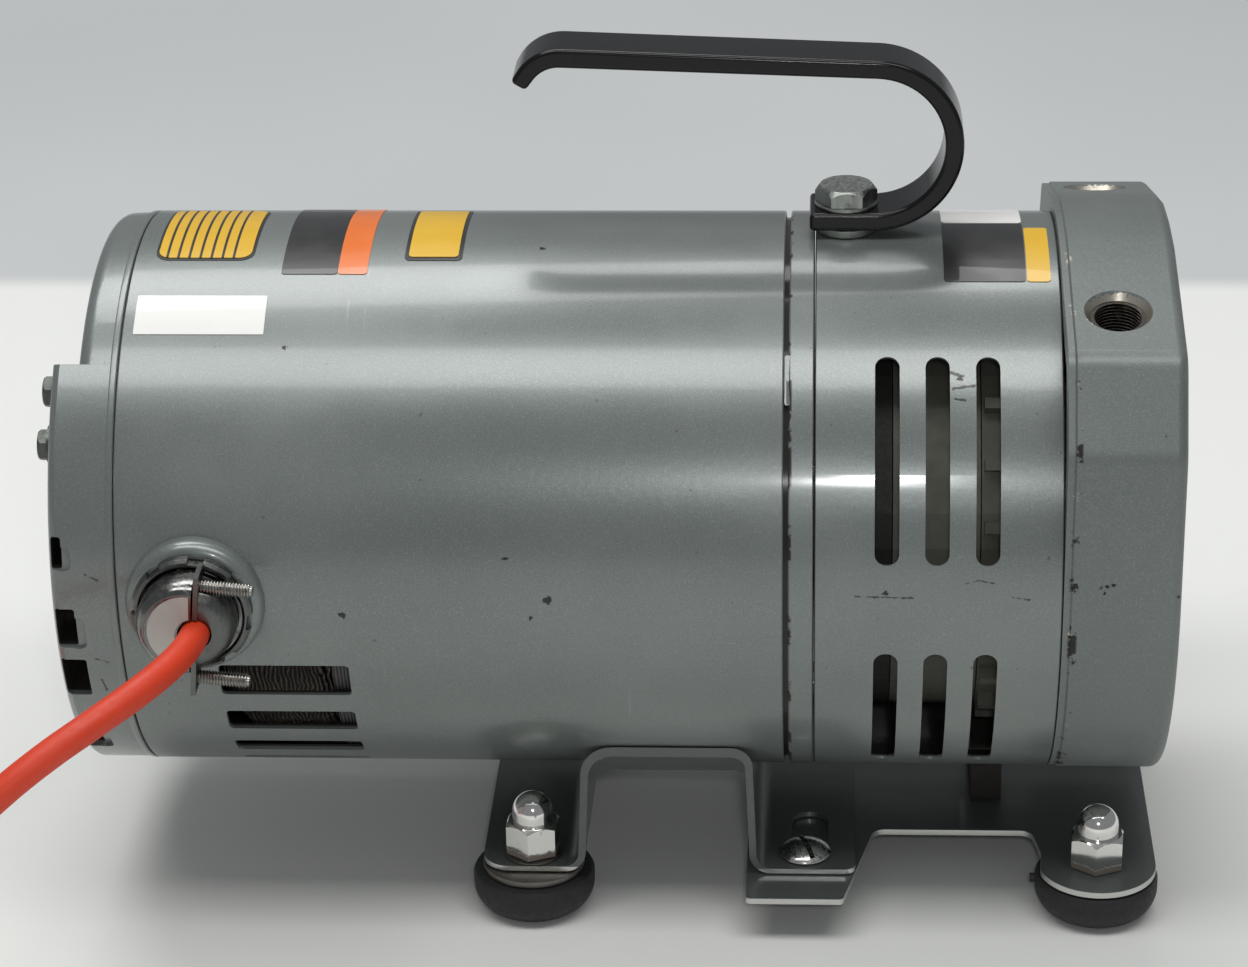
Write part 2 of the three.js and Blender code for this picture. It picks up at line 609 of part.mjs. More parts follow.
function cord() {
  const stops = CORD_ROUTE.map((stop) => new THREE.Vector3(...stop));
  const extrudePath = new THREE.CatmullRomCurve3(stops, false, "centripetal");
  const section = arc(0, 0, CORD_DIAMETER / 2, 0, 360 - 360 / CORD_SIDES, CORD_SIDES - 1);
  const shape = new THREE.Shape(section.map(([a, b]) => new THREE.Vector2(a, b)));
  return solid(new THREE.ExtrudeGeometry(shape, { extrudePath, steps: 16, bevelEnabled: false }));
}

function coil() {
  const [inner, outer] = [COIL_RADIUS - 1.5 * CORD_DIAMETER, COIL_RADIUS + 1.5 * CORD_DIAMETER];
  const height = 2 * CORD_DIAMETER;
  const turns = turned([
    [0.1, inner + 2], [2, inner], [height - 2, inner], [height, inner + 2],
    [height, outer - 2], [height - 2, outer], [2, outer], [0.1, outer - 2],
  ], "z", 24);
  return turns.translate([...COIL_CENTRE, 0]);
}

function plug() {
  const body = turned([
    [0, 0], [0, 5.8], [-20, 7.5], [-24, PLUG_RADIUS], [-54, PLUG_RADIUS], [-58, 12.5], [-58, 0],
  ], "x", 24);
  const blades = block([-76, -57], [-7.1, -5.6], [-3.2, 3.2])
    .add(block([-76, -57], [5.6, 7.1], [-3.2, 3.2]))
    .add(rod(-78, -57, 2.4, "x", 12).translate([0, 0, 9]));
  const line = COIL_CENTRE[1] - COIL_RADIUS - CORD_DIAMETER;
  return body.add(blades).translate([PLUG_START, line, PLUG_RADIUS + 0.2]);
}

part("cord", cord(), ORANGE, pump);
part("cord_coil", coil(), ORANGE, pump);
part("plug", plug(), BLACK, pump);

export default pump;
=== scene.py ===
import math

import bmesh
import bpy
from mathutils import Matrix, Vector


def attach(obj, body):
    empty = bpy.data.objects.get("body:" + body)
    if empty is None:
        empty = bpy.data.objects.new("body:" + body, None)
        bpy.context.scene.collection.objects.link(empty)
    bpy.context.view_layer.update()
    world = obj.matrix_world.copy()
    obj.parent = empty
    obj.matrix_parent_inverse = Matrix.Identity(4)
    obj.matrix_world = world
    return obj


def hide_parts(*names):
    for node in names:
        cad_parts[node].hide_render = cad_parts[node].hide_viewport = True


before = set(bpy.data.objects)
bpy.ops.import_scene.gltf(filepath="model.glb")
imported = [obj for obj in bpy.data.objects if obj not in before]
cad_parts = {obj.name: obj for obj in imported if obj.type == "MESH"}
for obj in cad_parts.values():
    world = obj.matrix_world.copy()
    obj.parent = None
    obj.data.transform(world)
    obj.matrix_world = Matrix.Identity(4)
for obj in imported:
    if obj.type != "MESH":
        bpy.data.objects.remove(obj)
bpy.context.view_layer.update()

MM = 0.001
ROOT = "pump_frame"
ROUND = 160

# Sizes in millimetres. AXIS is the shaft's height above the floor. Heights are measured from the
# shaft, but those of the cord, the plug and the marks on the enamel are measured from the floor.
AXIS = 109.1
BODY = 79.4
REAR_END = -150.2
SHELF = {"ledge": 33, "well": 24, "rise": 45.9}
SHELL = (-131.8, 48.6)
SHROUD = (57.0, 123.4)
CAP = (125.5, 155.2)
PORT = {"x": 137.8, "y": 48, "z": 74.1, "tilt": 14.5}
CAP_BOLT = (30, -20)
BOLT_X = 65.4
BOLT_HOLE = 4.6
GLAND = (-110.5, 1.0)
CORD_THROAT = (2.4, -1.0)
CLAMP_TURN = 5
CLAMP_SCREWS = {"upper": 11.5, "lower": -15.6}
SCREW_LINE = -92
CORD_DIAMETER = 8.0
COIL_CENTRE = (-290.0, -100.7)
COIL_RADIUS = 46.0
COIL_TUCK = 3
PLUG_START = -329.0
PLUG_LEVEL = 14.1
SADDLE = 80.0
CRADLE_REACH = 59.5
SCREW_X, SCREW_Y = 54.6, 50.5
CUT = (-99, -80)  # levels of a cutter that goes through the sheets
STUD_HOLE = 3.5
FOOT_LEFT, FOOT_RIGHT, FOOT_Y = -23.3, 137.8, 50.8
FEET = {"front_left": (FOOT_LEFT, -FOOT_Y), "front_right": (FOOT_RIGHT, -FOOT_Y),
        "rear_left": (FOOT_LEFT, FOOT_Y), "rear_right": (FOOT_RIGHT, FOOT_Y)}


def linked(name, data):
    made = bpy.data.objects.new(name, data)
    bpy.context.collection.objects.link(made)
    return made


# -- Camera: turns in degrees, lens and sensor in millimetres, spot in metres --

CAMERA_TURNS = (-3.45, 24.7, -1.19)
CAMERA_SPOT = (0.059, -0.9483, 0.5467)
LENS = 104.25
SENSOR = 36


def camera():
    yaw, pitch, roll = (math.radians(a) for a in CAMERA_TURNS)
    level = math.cos(pitch)
    ahead = Vector((math.sin(yaw) * level, math.cos(yaw) * level, -math.sin(pitch)))
    right = Vector((math.cos(yaw), -math.sin(yaw), 0))
    up = right.cross(ahead)
    side = math.cos(roll) * right + math.sin(roll) * up
    top = math.cos(roll) * up - math.sin(roll) * right
    data = bpy.data.cameras.new("camera")
    data.lens = LENS
    data.sensor_width = SENSOR
    seen = linked("camera", data)
    turn = Matrix((side, top, -ahead)).transposed().to_4x4()
    seen.matrix_world = Matrix.Translation(CAMERA_SPOT) @ turn
    bpy.context.scene.camera = seen


# -- Shader nodes --

def wire(value, socket):
    if isinstance(value, bpy.types.NodeSocket):
        socket.id_data.links.new(value, socket)
    elif value is not None:
        socket.default_value = value


def node(tree, kind, *values, out=0, **settings):
    made = tree.nodes.new("ShaderNode" + kind)
    for name, value in settings.items():
        setattr(made, name, value)
    for value, socket in zip(values, made.inputs):
        wire(value, socket)
    return made.outputs[out]


def tree_of(*values):
    return next(value.id_data for value in values if isinstance(value, bpy.types.NodeSocket))


def maths(operation, a, b=None):
    return node(tree_of(a, b), "Math", a, b, operation=operation)


def times(a, b):
    return maths("MULTIPLY", a, b)


def plus(a, b):
    return maths("ADD", a, b)


def most(*values):
    """The greatest of the values."""
    total = values[0]
    for value in values[1:]:
        total = maths("MAXIMUM", total, value)
    return total


def blend(share, a, b):
    made = tree_of(share, a, b).nodes.new("ShaderNodeMix")
    made.data_type = "RGBA"
    for value, index in ((share, 0), (a, 6), (b, 7)):
        wire((*value, 1) if isinstance(value, tuple) else value, made.inputs[index])
    return made.outputs[2]


def place(tree):
    return node(tree, "TexCoord", out=3)


def stretched(tree, scale):
    return node(tree, "Mapping", place(tree), (0, 0, 0), (0, 0, 0), scale)


def texture(tree, kind, where, **values):
    made = tree.nodes.new("ShaderNodeTex" + kind)
    wire(where, made.inputs["Vector"])
    for name, value in values.items():
        made.inputs[name].default_value = value
    return made.outputs["Fac"]


def noise(tree, scale, detail=3.0, rough=0.5, where=None):
    return texture(tree, "Noise", where or place(tree), Scale=scale, Detail=detail, Roughness=rough)


def ramp(value, low, high, start=0.0, end=1.0):
    made = tree_of(value).nodes.new("ShaderNodeMapRange")
    made.interpolation_type = "SMOOTHSTEP"
    for item, socket in zip((value, low, high, start, end), made.inputs):
        wire(item, socket)
    return made.outputs[0]


def along(tree, axis):
    return node(tree, "SeparateXYZ", place(tree), out="XYZ".index(axis))


def near(tree, axis, centre, reach, edge=0.5):
    """1 where the object coordinate lies within reach of centre (mm), falling to 0 over edge."""
    offset = maths("ABSOLUTE", maths("SUBTRACT", along(tree, axis), centre * MM))
    return ramp(offset, (reach + edge) * MM, reach * MM)


def shaft_distance(tree):
    height = maths("SUBTRACT", along(tree, "Z"), AXIS * MM)
    across = node(tree, "CombineXYZ", 0, along(tree, "Y"), height)
    return node(tree, "VectorMath", across, operation="LENGTH", out=1)


def shaded_inside(tree, radius):
    """1 nearer to the shaft than radius (mm): the inner side of a thin shell, which gets painted shade."""
    return ramp(shaft_distance(tree), (radius + 0.4) * MM, radius * MM)


def on_body(x, z):
    return Vector((x, -math.sqrt(BODY ** 2 - (z - AXIS) ** 2), z)) * MM


def wobble(tree, scale, reach):
    return times(maths("SUBTRACT", noise(tree, scale), 0.5), reach * MM)


def strokes(tree, lines):
    """1 along each scratch (x, z, x, z, half width) on the front of the round body, in millimetres."""
    shake = wobble(tree, 700, 1.2)
    inside = []
    for x0, z0, x1, z1, width in lines:
        start, run = on_body(x0, z0), on_body(x1, z1) - on_body(x0, z0)
        offset = node(tree, "VectorMath", place(tree), tuple(start), operation="SUBTRACT")
        dot = node(tree, "VectorMath", offset, tuple(run), operation="DOT_PRODUCT", out=1)
        share = ramp(dot, 0, run.length_squared)
        share.node.interpolation_type = "LINEAR"
        reached = node(tree, "VectorMath", tuple(run), operation="SCALE")
        wire(share, reached.node.inputs["Scale"])
        far = node(tree, "VectorMath", offset, reached, operation="DISTANCE", out=1)
        inside.append(ramp(plus(far, shake), (width + 0.2) * MM, width * MM))
    return most(*inside)


def spots(tree, places):
    """1 inside each small ragged mark (x, y, z, radius), in millimetres."""
    shake = wobble(tree, 900, 2.6)
    inside = []
    for *spot, radius in places:
        centre = tuple(c * MM for c in spot)
        far = node(tree, "VectorMath", place(tree), centre, operation="DISTANCE", out=1)
        inside.append(ramp(plus(far, shake), (radius + 0.25) * MM, radius * MM))
    return most(*inside)


def principled(build):
    """Turns a function that gives a shader's inputs into one that makes a material, name first."""
    def make(name, *values, **named):
        made = bpy.data.materials.new(name)
        made.use_nodes = True
        tree = made.node_tree
        tree.nodes.clear()
        shader = tree.nodes.new("ShaderNodeBsdfPrincipled")
        tree.links.new(shader.outputs[0], tree.nodes.new("ShaderNodeOutputMaterial").inputs[0])
        for socket, value in build(tree, *values, **named).items():
            wire((*value, 1) if isinstance(value, tuple) else value, shader.inputs[socket])
        return made
    return make


def bump(height, strength, distance):
    made = tree_of(height).nodes.new("ShaderNodeBump")
    made.inputs["Strength"].default_value = strength
    made.inputs["Distance"].default_value = distance * MM
    wire(height, made.inputs["Height"])
    return made.outputs[0]


# -- Materials --

GREEN = (0.150, 0.172, 0.166)
GREEN_LIGHT = (0.190, 0.213, 0.207)
FLAKE = (0.30, 0.33, 0.32)
DUST = (0.33, 0.34, 0.32)
SCUFF = (0.36, 0.38, 0.37)
SHADE = (0.012, 0.014, 0.013)
BARE = (0.62, 0.62, 0.60)
# The next colour darkens dark chips and dirt, and is also the colour of painted shade on inner sides, in
# notches and low on the cast iron.
GRIME_AND_SHADE = (0.022, 0.020, 0.017)
BLACK = (0.02, 0.02, 0.021)

# Chips (x, y, z, radius) and scratches (x, z, x, z, half width)
SHELL_CHIPS = [
    (-25.9, -78.1, 123.5, 0.4), (-14.8, -79.4, 111.6, 1.0), (-70.7, -79.4, 106.7, 0.9),
    (-19.1, -79.3, 106.1, 0.5), (-86.7, -48.2, 172.2, 0.4), (-18.8, -12.9, 187.4, 0.6)]
SHROUD_CHIPS = [(95.8, -54.9, 166.5, 0.5), (102.4, -58.9, 162.4, 0.4), (76, -79.2, 114.2, 0.5)]
CAP_CHIPS = [
    (133.5, -79.8, 116.5, 0.4), (135.2, -79.8, 116.8, 0.45), (136.6, -79.8, 117.2, 0.3),
    (134.5, -79.8, 114.8, 0.2), (133, -79.8, 101, 0.3), (154.4, -79, 113.5, 0.4)]
BELL_SCRATCHES = [
    (-140, 118, -137, 116.5, 0.3), (-141, 92, -136.5, 90.5, 0.25), (-139, 84, -138, 80, 0.3)]
SHROUD_SCRATCHES = [
    (93.2, 167.6, 96.5, 166.9, 0.35), (94, 164.3, 99.7, 165, 0.25), (94.5, 162.2, 97, 161.9, 0.2),
    (68, 113.2, 84, 112.8, 0.08), (97.5, 117, 101, 118, 0.05), (101, 118, 106, 117, 0.05),
    (110, 113.2, 114.5, 112.6, 0.1)]


@principled
def enamel(tree, marks=(), bare=None, cast=0.0, dirt_and_shade=None, scratches=(), metal_tint=BARE, depth=1.0,
           shine=(0.30, 0.38), coat=0.45):
    """Metallic grey-green enamel with flake and orange peel.

    marks and scratches are chips in it, bare gives worn areas, dirt gives dark chips, joint lines and
    painted shade in hollows, cast is the coarseness of the casting under it, and a depth below 1 darkens it,
    which on the bracket is painted shade.
    """
    cloud = ramp(noise(tree, 9, 4, 0.6), 0.3, 0.7)
    flake = ramp(noise(tree, 2600, 1), 0.45, 0.75)
    colour = blend(cloud, GREEN, GREEN_LIGHT)
    colour = blend(times(flake, 0.35), colour, FLAKE)
    dust = ramp(noise(tree, 240, 5, 0.7), 0.66, 0.80)
    colour = blend(times(dust, 0.35), colour, DUST)
    lines = noise(tree, 60, 2, 0.5, stretched(tree, (9.0, 0.6, 0.6)))
    scratch = times(ramp(lines, 0.70, 0.73), ramp(noise(tree, 22), 0.5, 0.7))
    colour = blend(times(scratch, 0.25), colour, SCUFF)
    # A depth below 1 darkens the enamel; on the bracket this is painted shade.
    colour = blend(1 - depth, colour, SHADE)
    gloss = ramp(cloud, 0, 1, *shine)
    metal = 0.35
    dark = times(ramp(noise(tree, 380, 3), 0.72, 0.78), 0.5)
    if marks:
        dark = most(dark, spots(tree, marks))
    if scratches:
        dark = most(dark, times(strokes(tree, scratches), 0.8))
    if dirt_and_shade is not None:
        dark = most(dark, dirt_and_shade(tree))
    if bare is not None:
        worn = bare(tree)
        colour = blend(worn, colour, metal_tint)
        metal = ramp(worn, 0, 1, metal, 1.0)
        gloss = times(gloss, ramp(worn, 0, 1, 1.0, 0.8))
    # Darkens chips, specks and scratches, and paints shade where the dirt mask gives it.
    colour = blend(dark, colour, GRIME_AND_SHADE)
    gloss = most(gloss, times(dark, 0.75))
    peel = noise(tree, 520, 2, 0.4)
    height = maths("SUBTRACT", peel, times(dark, 1.5))
    if cast:
        height = plus(height, times(noise(tree, 330, 4, 0.65), cast))
    return {"Base Color": colour, "Metallic": metal, "Roughness": gloss,
            "Coat Weight": coat, "Coat Roughness": 0.11, "Normal": bump(height, 0.16, 0.12)}


@principled
def zinc(tree, colour=(0.56, 0.56, 0.54), shine=0.32, grime=0.35):
    """Plated steel with fine brushing, cloudy tarnish and a little dirt."""
    cloud = noise(tree, 130, 4, 0.6)
    brush = noise(tree, 900, 2, 0.5, stretched(tree, (1.0, 1.0, 0.12)))
    dirty = times(ramp(noise(tree, 260, 5, 0.7), 0.55, 0.72), grime)
    tint = blend(cloud, colour, tuple(c * 0.72 for c in colour))
    return {"Base Color": blend(dirty, tint, (0.10, 0.085, 0.065)),
            "Metallic": ramp(dirty, 0, 1, 1.0, 0.4),
            "Roughness": plus(ramp(brush, 0.3, 0.7, shine - 0.08, shine + 0.1), times(dirty, 0.4)),
            "Normal": bump(plus(brush, cloud), 0.12, 0.1)}


@principled
def chrome(tree, foot):
    """Bright acorn nut plating, with grime and rust round its foot (a height above the floor)."""
    low = ramp(along(tree, "Z"), (foot + 4.5) * MM, foot * MM)
    ragged = ramp(plus(low, noise(tree, 420, 4, 0.7)), 0.95, 1.25)
    specks = ramp(noise(tree, 500, 3, 0.6), 0.68, 0.74)
    dirty = most(times(ragged, 0.85), times(specks, 0.6))
    colour = blend(dirty, (0.80, 0.79, 0.77), (0.09, 0.06, 0.035))
    return {"Base Color": colour, "Metallic": ramp(dirty, 0, 1, 1.0, 0.3),
            "Roughness": ramp(dirty, 0, 1, 0.13, 0.7),
            "Normal": bump(noise(tree, 600), 0.08, 0.1)}


@principled
def plain(tree, colour, roughness, metallic=0.0, grain=700.0, depth=0.12, spread=0.25, painted_shade=None):
    """One material family for plastics, rubber, castings and felt: mottled, with a fine grain."""
    cloud = noise(tree, grain * 0.12, 4, 0.6)
    light = tuple(min(1.0, c * (1 + spread) + 0.004) for c in colour)
    dark = tuple(c * (1 - spread) for c in colour)
    fine = noise(tree, grain, 3, 0.6)
    tint = blend(cloud, dark, light)
    # An optional mask paints shade: it darkens the colour where shade falls.
    if painted_shade is not None:
        tint = blend(painted_shade(tree), tint, GRIME_AND_SHADE)
    smoothest, roughest = max(roughness - 0.07, 0.05), min(roughness + 0.1, 1)
    return {"Base Color": tint, "Metallic": metallic,
            "Roughness": ramp(fine, 0.25, 0.75, smoothest, roughest),
            "Normal": bump(fine, 0.3, depth)}


@principled
def film(tree, colour, stripes=()):
    """A printed label: flat colour with worn specks, and plain stripes (axis, centre, reach, colour)."""
    tint = colour
    for axis, centre, reach, ink in stripes:
        tint = blend(near(tree, axis, centre, reach, 0.15), tint, ink)
    worn = ramp(noise(tree, 420, 5, 0.7), 0.66, 0.74)
    tint = blend(times(worn, 0.25), tint, (0.42, 0.41, 0.38))
    return {"Base Color": tint, "Roughness": ramp(noise(tree, 90), 0.3, 0.7, 0.28, 0.42),
            "Coat Weight": 0.3, "Normal": bump(noise(tree, 260, 2), 0.06, 0.1)}


@principled
def windings(tree):
    """Varnished wire: fine strands running round the coil end, with laced cord across them."""
    waves = {"Scale": 260, "Distortion": 9, "Detail": 2, "Detail Scale": 0.6}
    line = texture(tree, "Wave", place(tree), **waves)
    tint = blend(line, (0.012, 0.009, 0.007), (0.20, 0.17, 0.145))
    dusty = ramp(noise(tree, 55, 4, 0.6), 0.45, 0.65)
    return {"Base Color": blend(times(dusty, 0.6), tint, (0.03, 0.028, 0.026)),
            "Metallic": 0.4, "Roughness": ramp(line, 0, 1, 0.5, 0.25),
            "Normal": bump(line, 0.9, 1.2)}


@principled
def lamination(tree):
    """Edges of stacked sheets, dark with varnish."""
    line = texture(tree, "Wave", place(tree), Scale=320)
    tint = blend(line, (0.02, 0.02, 0.022), (0.09, 0.09, 0.09))
    return {"Base Color": tint, "Metallic": 0.6,
            "Roughness": ramp(noise(tree, 200), 0.3, 0.7, 0.4, 0.6),
            "Normal": bump(line, 0.6, 0.3)}


@principled
def gloss_black(tree):
    """Baked gloss coating with faint scuffs."""
    scuff = ramp(noise(tree, 300, 5, 0.7), 0.66, 0.76)
    colour = blend(times(scuff, 0.3), (0.006, 0.006, 0.0065), (0.06, 0.06, 0.06))
    return {"Base Color": colour, "Roughness": ramp(scuff, 0, 1, 0.16, 0.4),
            "Specular IOR Level": 0.28, "Normal": bump(noise(tree, 300, 2), 0.1, 0.15)}


# -- Mesh building --

def shape(name, verts, faces):
    mesh = bpy.data.meshes.new(name)
    mesh.from_pydata([tuple(c * MM for c in v) for v in verts], [], faces)
    made = bmesh.new()
    made.from_mesh(mesh)
    bmesh.ops.remove_doubles(made, verts=made.verts, dist=1e-7)
    bmesh.ops.recalc_face_normals(made, faces=made.faces)
    made.to_mesh(mesh)
    made.free()
    return linked(name, mesh)


def revolve(name, profile, axis="x", centre=(0, 0, 0), count=ROUND):
    """Closed profile [(level, radius)] turned about a line through centre; axis 'front' is -Y."""
    def put(level, radius, angle):
        a, b = radius * math.cos(angle), radius * math.sin(angle)
        spot = {"x": (level, -a, b), "z": (a, b, level), "front": (a, -level, b)}[axis]
        return tuple(s + c for s, c in zip(spot, centre))
    size = len(profile)
    verts = [put(s, r, 2 * math.pi * i / count) for i in range(count) for s, r in profile]
    faces = []
    for i in range(count):
        j = (i + 1) % count
        for k in range(size):
            n = (k + 1) % size
            if profile[k][1] < 1e-6 and profile[n][1] < 1e-6:
                continue
            faces.append((i * size + k, i * size + n, j * size + n, j * size + k))
    return shape(name, verts, faces)


def prism(name, outline, low, high, axis="z", centre=(0, 0, 0)):
    """Outline [(a, b)] in the plane across axis, between two levels along it."""
    def put(a, b, level):
        spot = {"x": (level, a, b), "y": (a, level, b), "z": (a, b, level)}[axis]
        return tuple(s + c for s, c in zip(spot, centre))
    size = len(outline)
    verts = [put(a, b, level) for level in (low, high) for a, b in outline]
    faces = [tuple(range(size)), tuple(range(size, 2 * size))]
    faces += [(k, (k + 1) % size, size + (k + 1) % size, size + k) for k in range(size)]
    return shape(name, verts, faces)


def loft(name, rings):
    """Rings of (x, y, z) points with equal counts, skinned in order and closed at both ends."""
    size = len(rings[0])
    verts = [point for ring in rings for point in ring]
    faces = []
    for i in range(len(rings) - 1):
        for k in range(size):
            n = (k + 1) % size
            faces.append((i * size + k, i * size + n, (i + 1) * size + n, (i + 1) * size + k))
    faces += [tuple(range(size)), tuple(range((len(rings) - 1) * size, len(rings) * size))]
    return shape(name, verts, faces)


def oblong(xs, ys, *radius):
    """The four corners of a rectangle, with a corner radius if one is given."""
    return [(xs[i], ys[j], *radius) for i, j in ((0, 0), (1, 0), (1, 1), (0, 1))]


def mirrored(half):
    """Corners (x, y) or (x, y, radius) on one side, then the same corners at -y in reverse."""
    return half + [(c[0], -c[1], *c[2:]) for c in reversed(half)]


def block(name, xs, ys, zs, centre=(0, 0, 0)):
    return prism(name, oblong(xs, ys), *zs, "z", centre)


def arc(a, b, radius, start, end, steps=16):
    angles = (math.radians(start + (end - start) * i / steps) for i in range(steps + 1))
    return [(a + radius * math.cos(t), b + radius * math.sin(t)) for t in angles]


def rounded(corners, steps=8):
    """Corners (a, b) or (a, b, radius) of an outline; a corner with a radius becomes an arc."""
    points = []
    for i, corner in enumerate(corners):
        here = Vector(corner[:2])
        if len(corner) < 3 or not corner[2]:
            points.append(tuple(here))
            continue
        back = (Vector(corners[i - 1][:2]) - here).normalized()
        ahead = (Vector(corners[(i + 1) % len(corners)][:2]) - here).normalized()
        half = math.acos(max(-1, min(1, back.dot(ahead)))) / 2
        middle = here + (back + ahead).normalized() * corner[2] / math.sin(half)
        reach = corner[2] / math.tan(half)
        first = here + back * reach - middle
        last = here + ahead * reach - middle
        start = math.atan2(first.y, first.x)
        turn = math.atan2(first.cross(last), first.dot(last))
        points += arc(*middle, corner[2], math.degrees(start), math.degrees(start + turn), steps)
    return points


def evaluated(piece):
    graph = bpy.context.evaluated_depsgraph_get()
    mesh = bpy.data.meshes.new_from_object(piece.evaluated_get(graph))
    piece.modifiers.clear()
    piece.data = mesh
    return piece


def combine(piece, others, operation="DIFFERENCE"):
    """Cuts, joins or meets piece with each other solid, which is used up."""
    for other in others:
        step = piece.modifiers.new("step", "BOOLEAN")
        step.operation = operation
        step.solver = "EXACT"
        step.object = other
    evaluated(piece)
    for other in others:
        bpy.data.objects.remove(other)
    return piece


def soften(piece, width, segments=2, angle=40):
    step = piece.modifiers.new("edges", "BEVEL")
    step.width = width * MM
    step.segments = segments
    step.limit_method = "ANGLE"
    step.angle_limit = math.radians(angle)
    step.use_clamp_overlap = True
    return evaluated(piece)


def turned_by(piece, degrees, axis="X", about=(0, 0, 0)):
    spot = Matrix.Translation(Vector(about) * MM)
    piece.data.transform(spot @ Matrix.Rotation(math.radians(degrees), 4, axis) @ spot.inverted())
    return piece


def finished(piece, material, finish, stands_for=None, lift=AXIS, smooth=32):
    """Lifts a piece from the shaft's height, shades it, and ties it to the frame.

    A piece called NODE_visual takes the place of that node, unless stands_for says another one.
    """
    piece.data.transform(Matrix.Translation((0, 0, lift * MM)))
    for face in piece.data.polygons:
        face.use_smooth = True
    piece.data.set_sharp_from_angle(angle=math.radians(smooth))
    step = piece.modifiers.new("normals", "WEIGHTED_NORMAL")
    step.keep_sharp = True
    evaluated(piece)
    piece.data.materials.clear()
    piece.data.materials.append(material)
    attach(piece, ROOT)
    replaced = stands_for or piece.name.removesuffix("_visual")
    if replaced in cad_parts:
        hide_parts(replaced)
    return piece


def plated(piece, steel, **more):
    return finished(piece, steel, "zinc_steel", **more)


def patch(name, xs, angles, depths, corner, side=-1):
    """A block with a rounded outline wrapped round the shaft: angles run up from side -Y (or +Y)."""
    outline = rounded(oblong(xs, [math.radians(a) * BODY for a in angles], corner))
    long = []
    for (x0, s0), (x1, s1) in zip(outline, outline[1:] + outline[:1]):
        steps = max(1, int(abs(s1 - s0) / 4))
        long += [(x0 + (x1 - x0) * k / steps, s0 + (s1 - s0) * k / steps) for k in range(steps)]
    rings = []
    for depth in depths:
        rings.append([(x, side * depth * math.cos(s / BODY), depth * math.sin(s / BODY)) for x, s in long])
    return loft(name, rings)


def pipe(name, low, high, inner, outer, axis="x", centre=(0, 0, 0), count=ROUND):
    return revolve(name, [(low, inner), (high, inner), (high, outer), (low, outer)], axis, centre, count)


def rod(name, low, high, radius, axis="x", centre=(0, 0, 0), count=48):
    return revolve(name, [(low, 0), (high, 0), (high, radius), (low, radius)], axis, centre, count)


# -- Cord --

CORD_ROUTE = [  # x, y and height above the floor
    (-108.1, -90, 109.1), (-108.1, -97, 109.1), (-109.3, -106.5, 109.2), (-113.2, -117.5, 108.7),
    (-119.5, -128, 107.2), (-128.3, -137.8, 104.2), (-139.5, -146.5, 99), (-151, -153.5, 91.5),
    (-162, -159, 82), (-172, -162.2, 71), (-181, -163.8, 58.5), (-188.8, -164.2, 45),
    (-196, -163.4, 32), (-204.5, -161.6, 19.6), (-215.5, -159.2, 9.8), (-229, -156.9, 4.9),
    (-242.5, -155.3, 4.2), (-258, -154.7, 4.2), (-274, -154.7, 4.2),
]


def coil_points():
    """Five turns, three beside each other and two above, entered and left on a tangent along -X."""
    pitch = CORD_DIAMETER
    low, high = pitch / 2 + 0.2, pitch * 1.5 - 0.1
    outer, middle, inner = COIL_RADIUS + pitch, COIL_RADIUS, COIL_RADIUS - pitch
    lays = [(outer, low), (middle, low), (inner, low), (inner, high), (middle, high), (outer, high)]
    points = []
    for turn in range(0, 1801, 15):
        lap, past = divmod(turn + 180, 360)
        step = min(past / 180, 1) if lap else 1
        share = (1 - math.cos(math.pi * step)) / 2
        (r0, z0), (r1, z1) = lays[max(lap - 1, 0)], lays[lap]
        tuck = COIL_TUCK * math.sin(math.pi * step) ** 2 if r0 == r1 else 0
        radius, level = r0 + (r1 - r0) * share - tuck, z0 + (z1 - z0) * share
        angle = math.radians(-90 - turn)
        x, y = COIL_CENTRE[0] + radius * math.cos(angle), COIL_CENTRE[1] + radius * math.sin(angle)
        points.append((x, y, level))
    return points


def cord(jacket, rubber, steel):
    points = CORD_ROUTE + coil_points()
    line = COIL_CENTRE[1] - COIL_RADIUS - CORD_DIAMETER
    points += [(PLUG_START + ahead, line, PLUG_LEVEL) for ahead in (20, 8, -4)]
    data = bpy.data.curves.new("cord_visual", "CURVE")
    data.dimensions = "3D"
    data.bevel_depth = CORD_DIAMETER / 2 * MM
    data.bevel_resolution = 6
    data.resolution_u = 6
    spline = data.splines.new("BEZIER")
    spline.bezier_points.add(len(points) - 1)
    for bezier, point in zip(spline.bezier_points, points):
        bezier.co = Vector(point) * MM
        bezier.handle_left_type = bezier.handle_right_type = "AUTO"
    data.materials.append(jacket)
    lead = linked("cord_visual", data)
    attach(lead, ROOT)
    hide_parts("cord", "cord_coil")
    return lead, plug(line, rubber, steel)


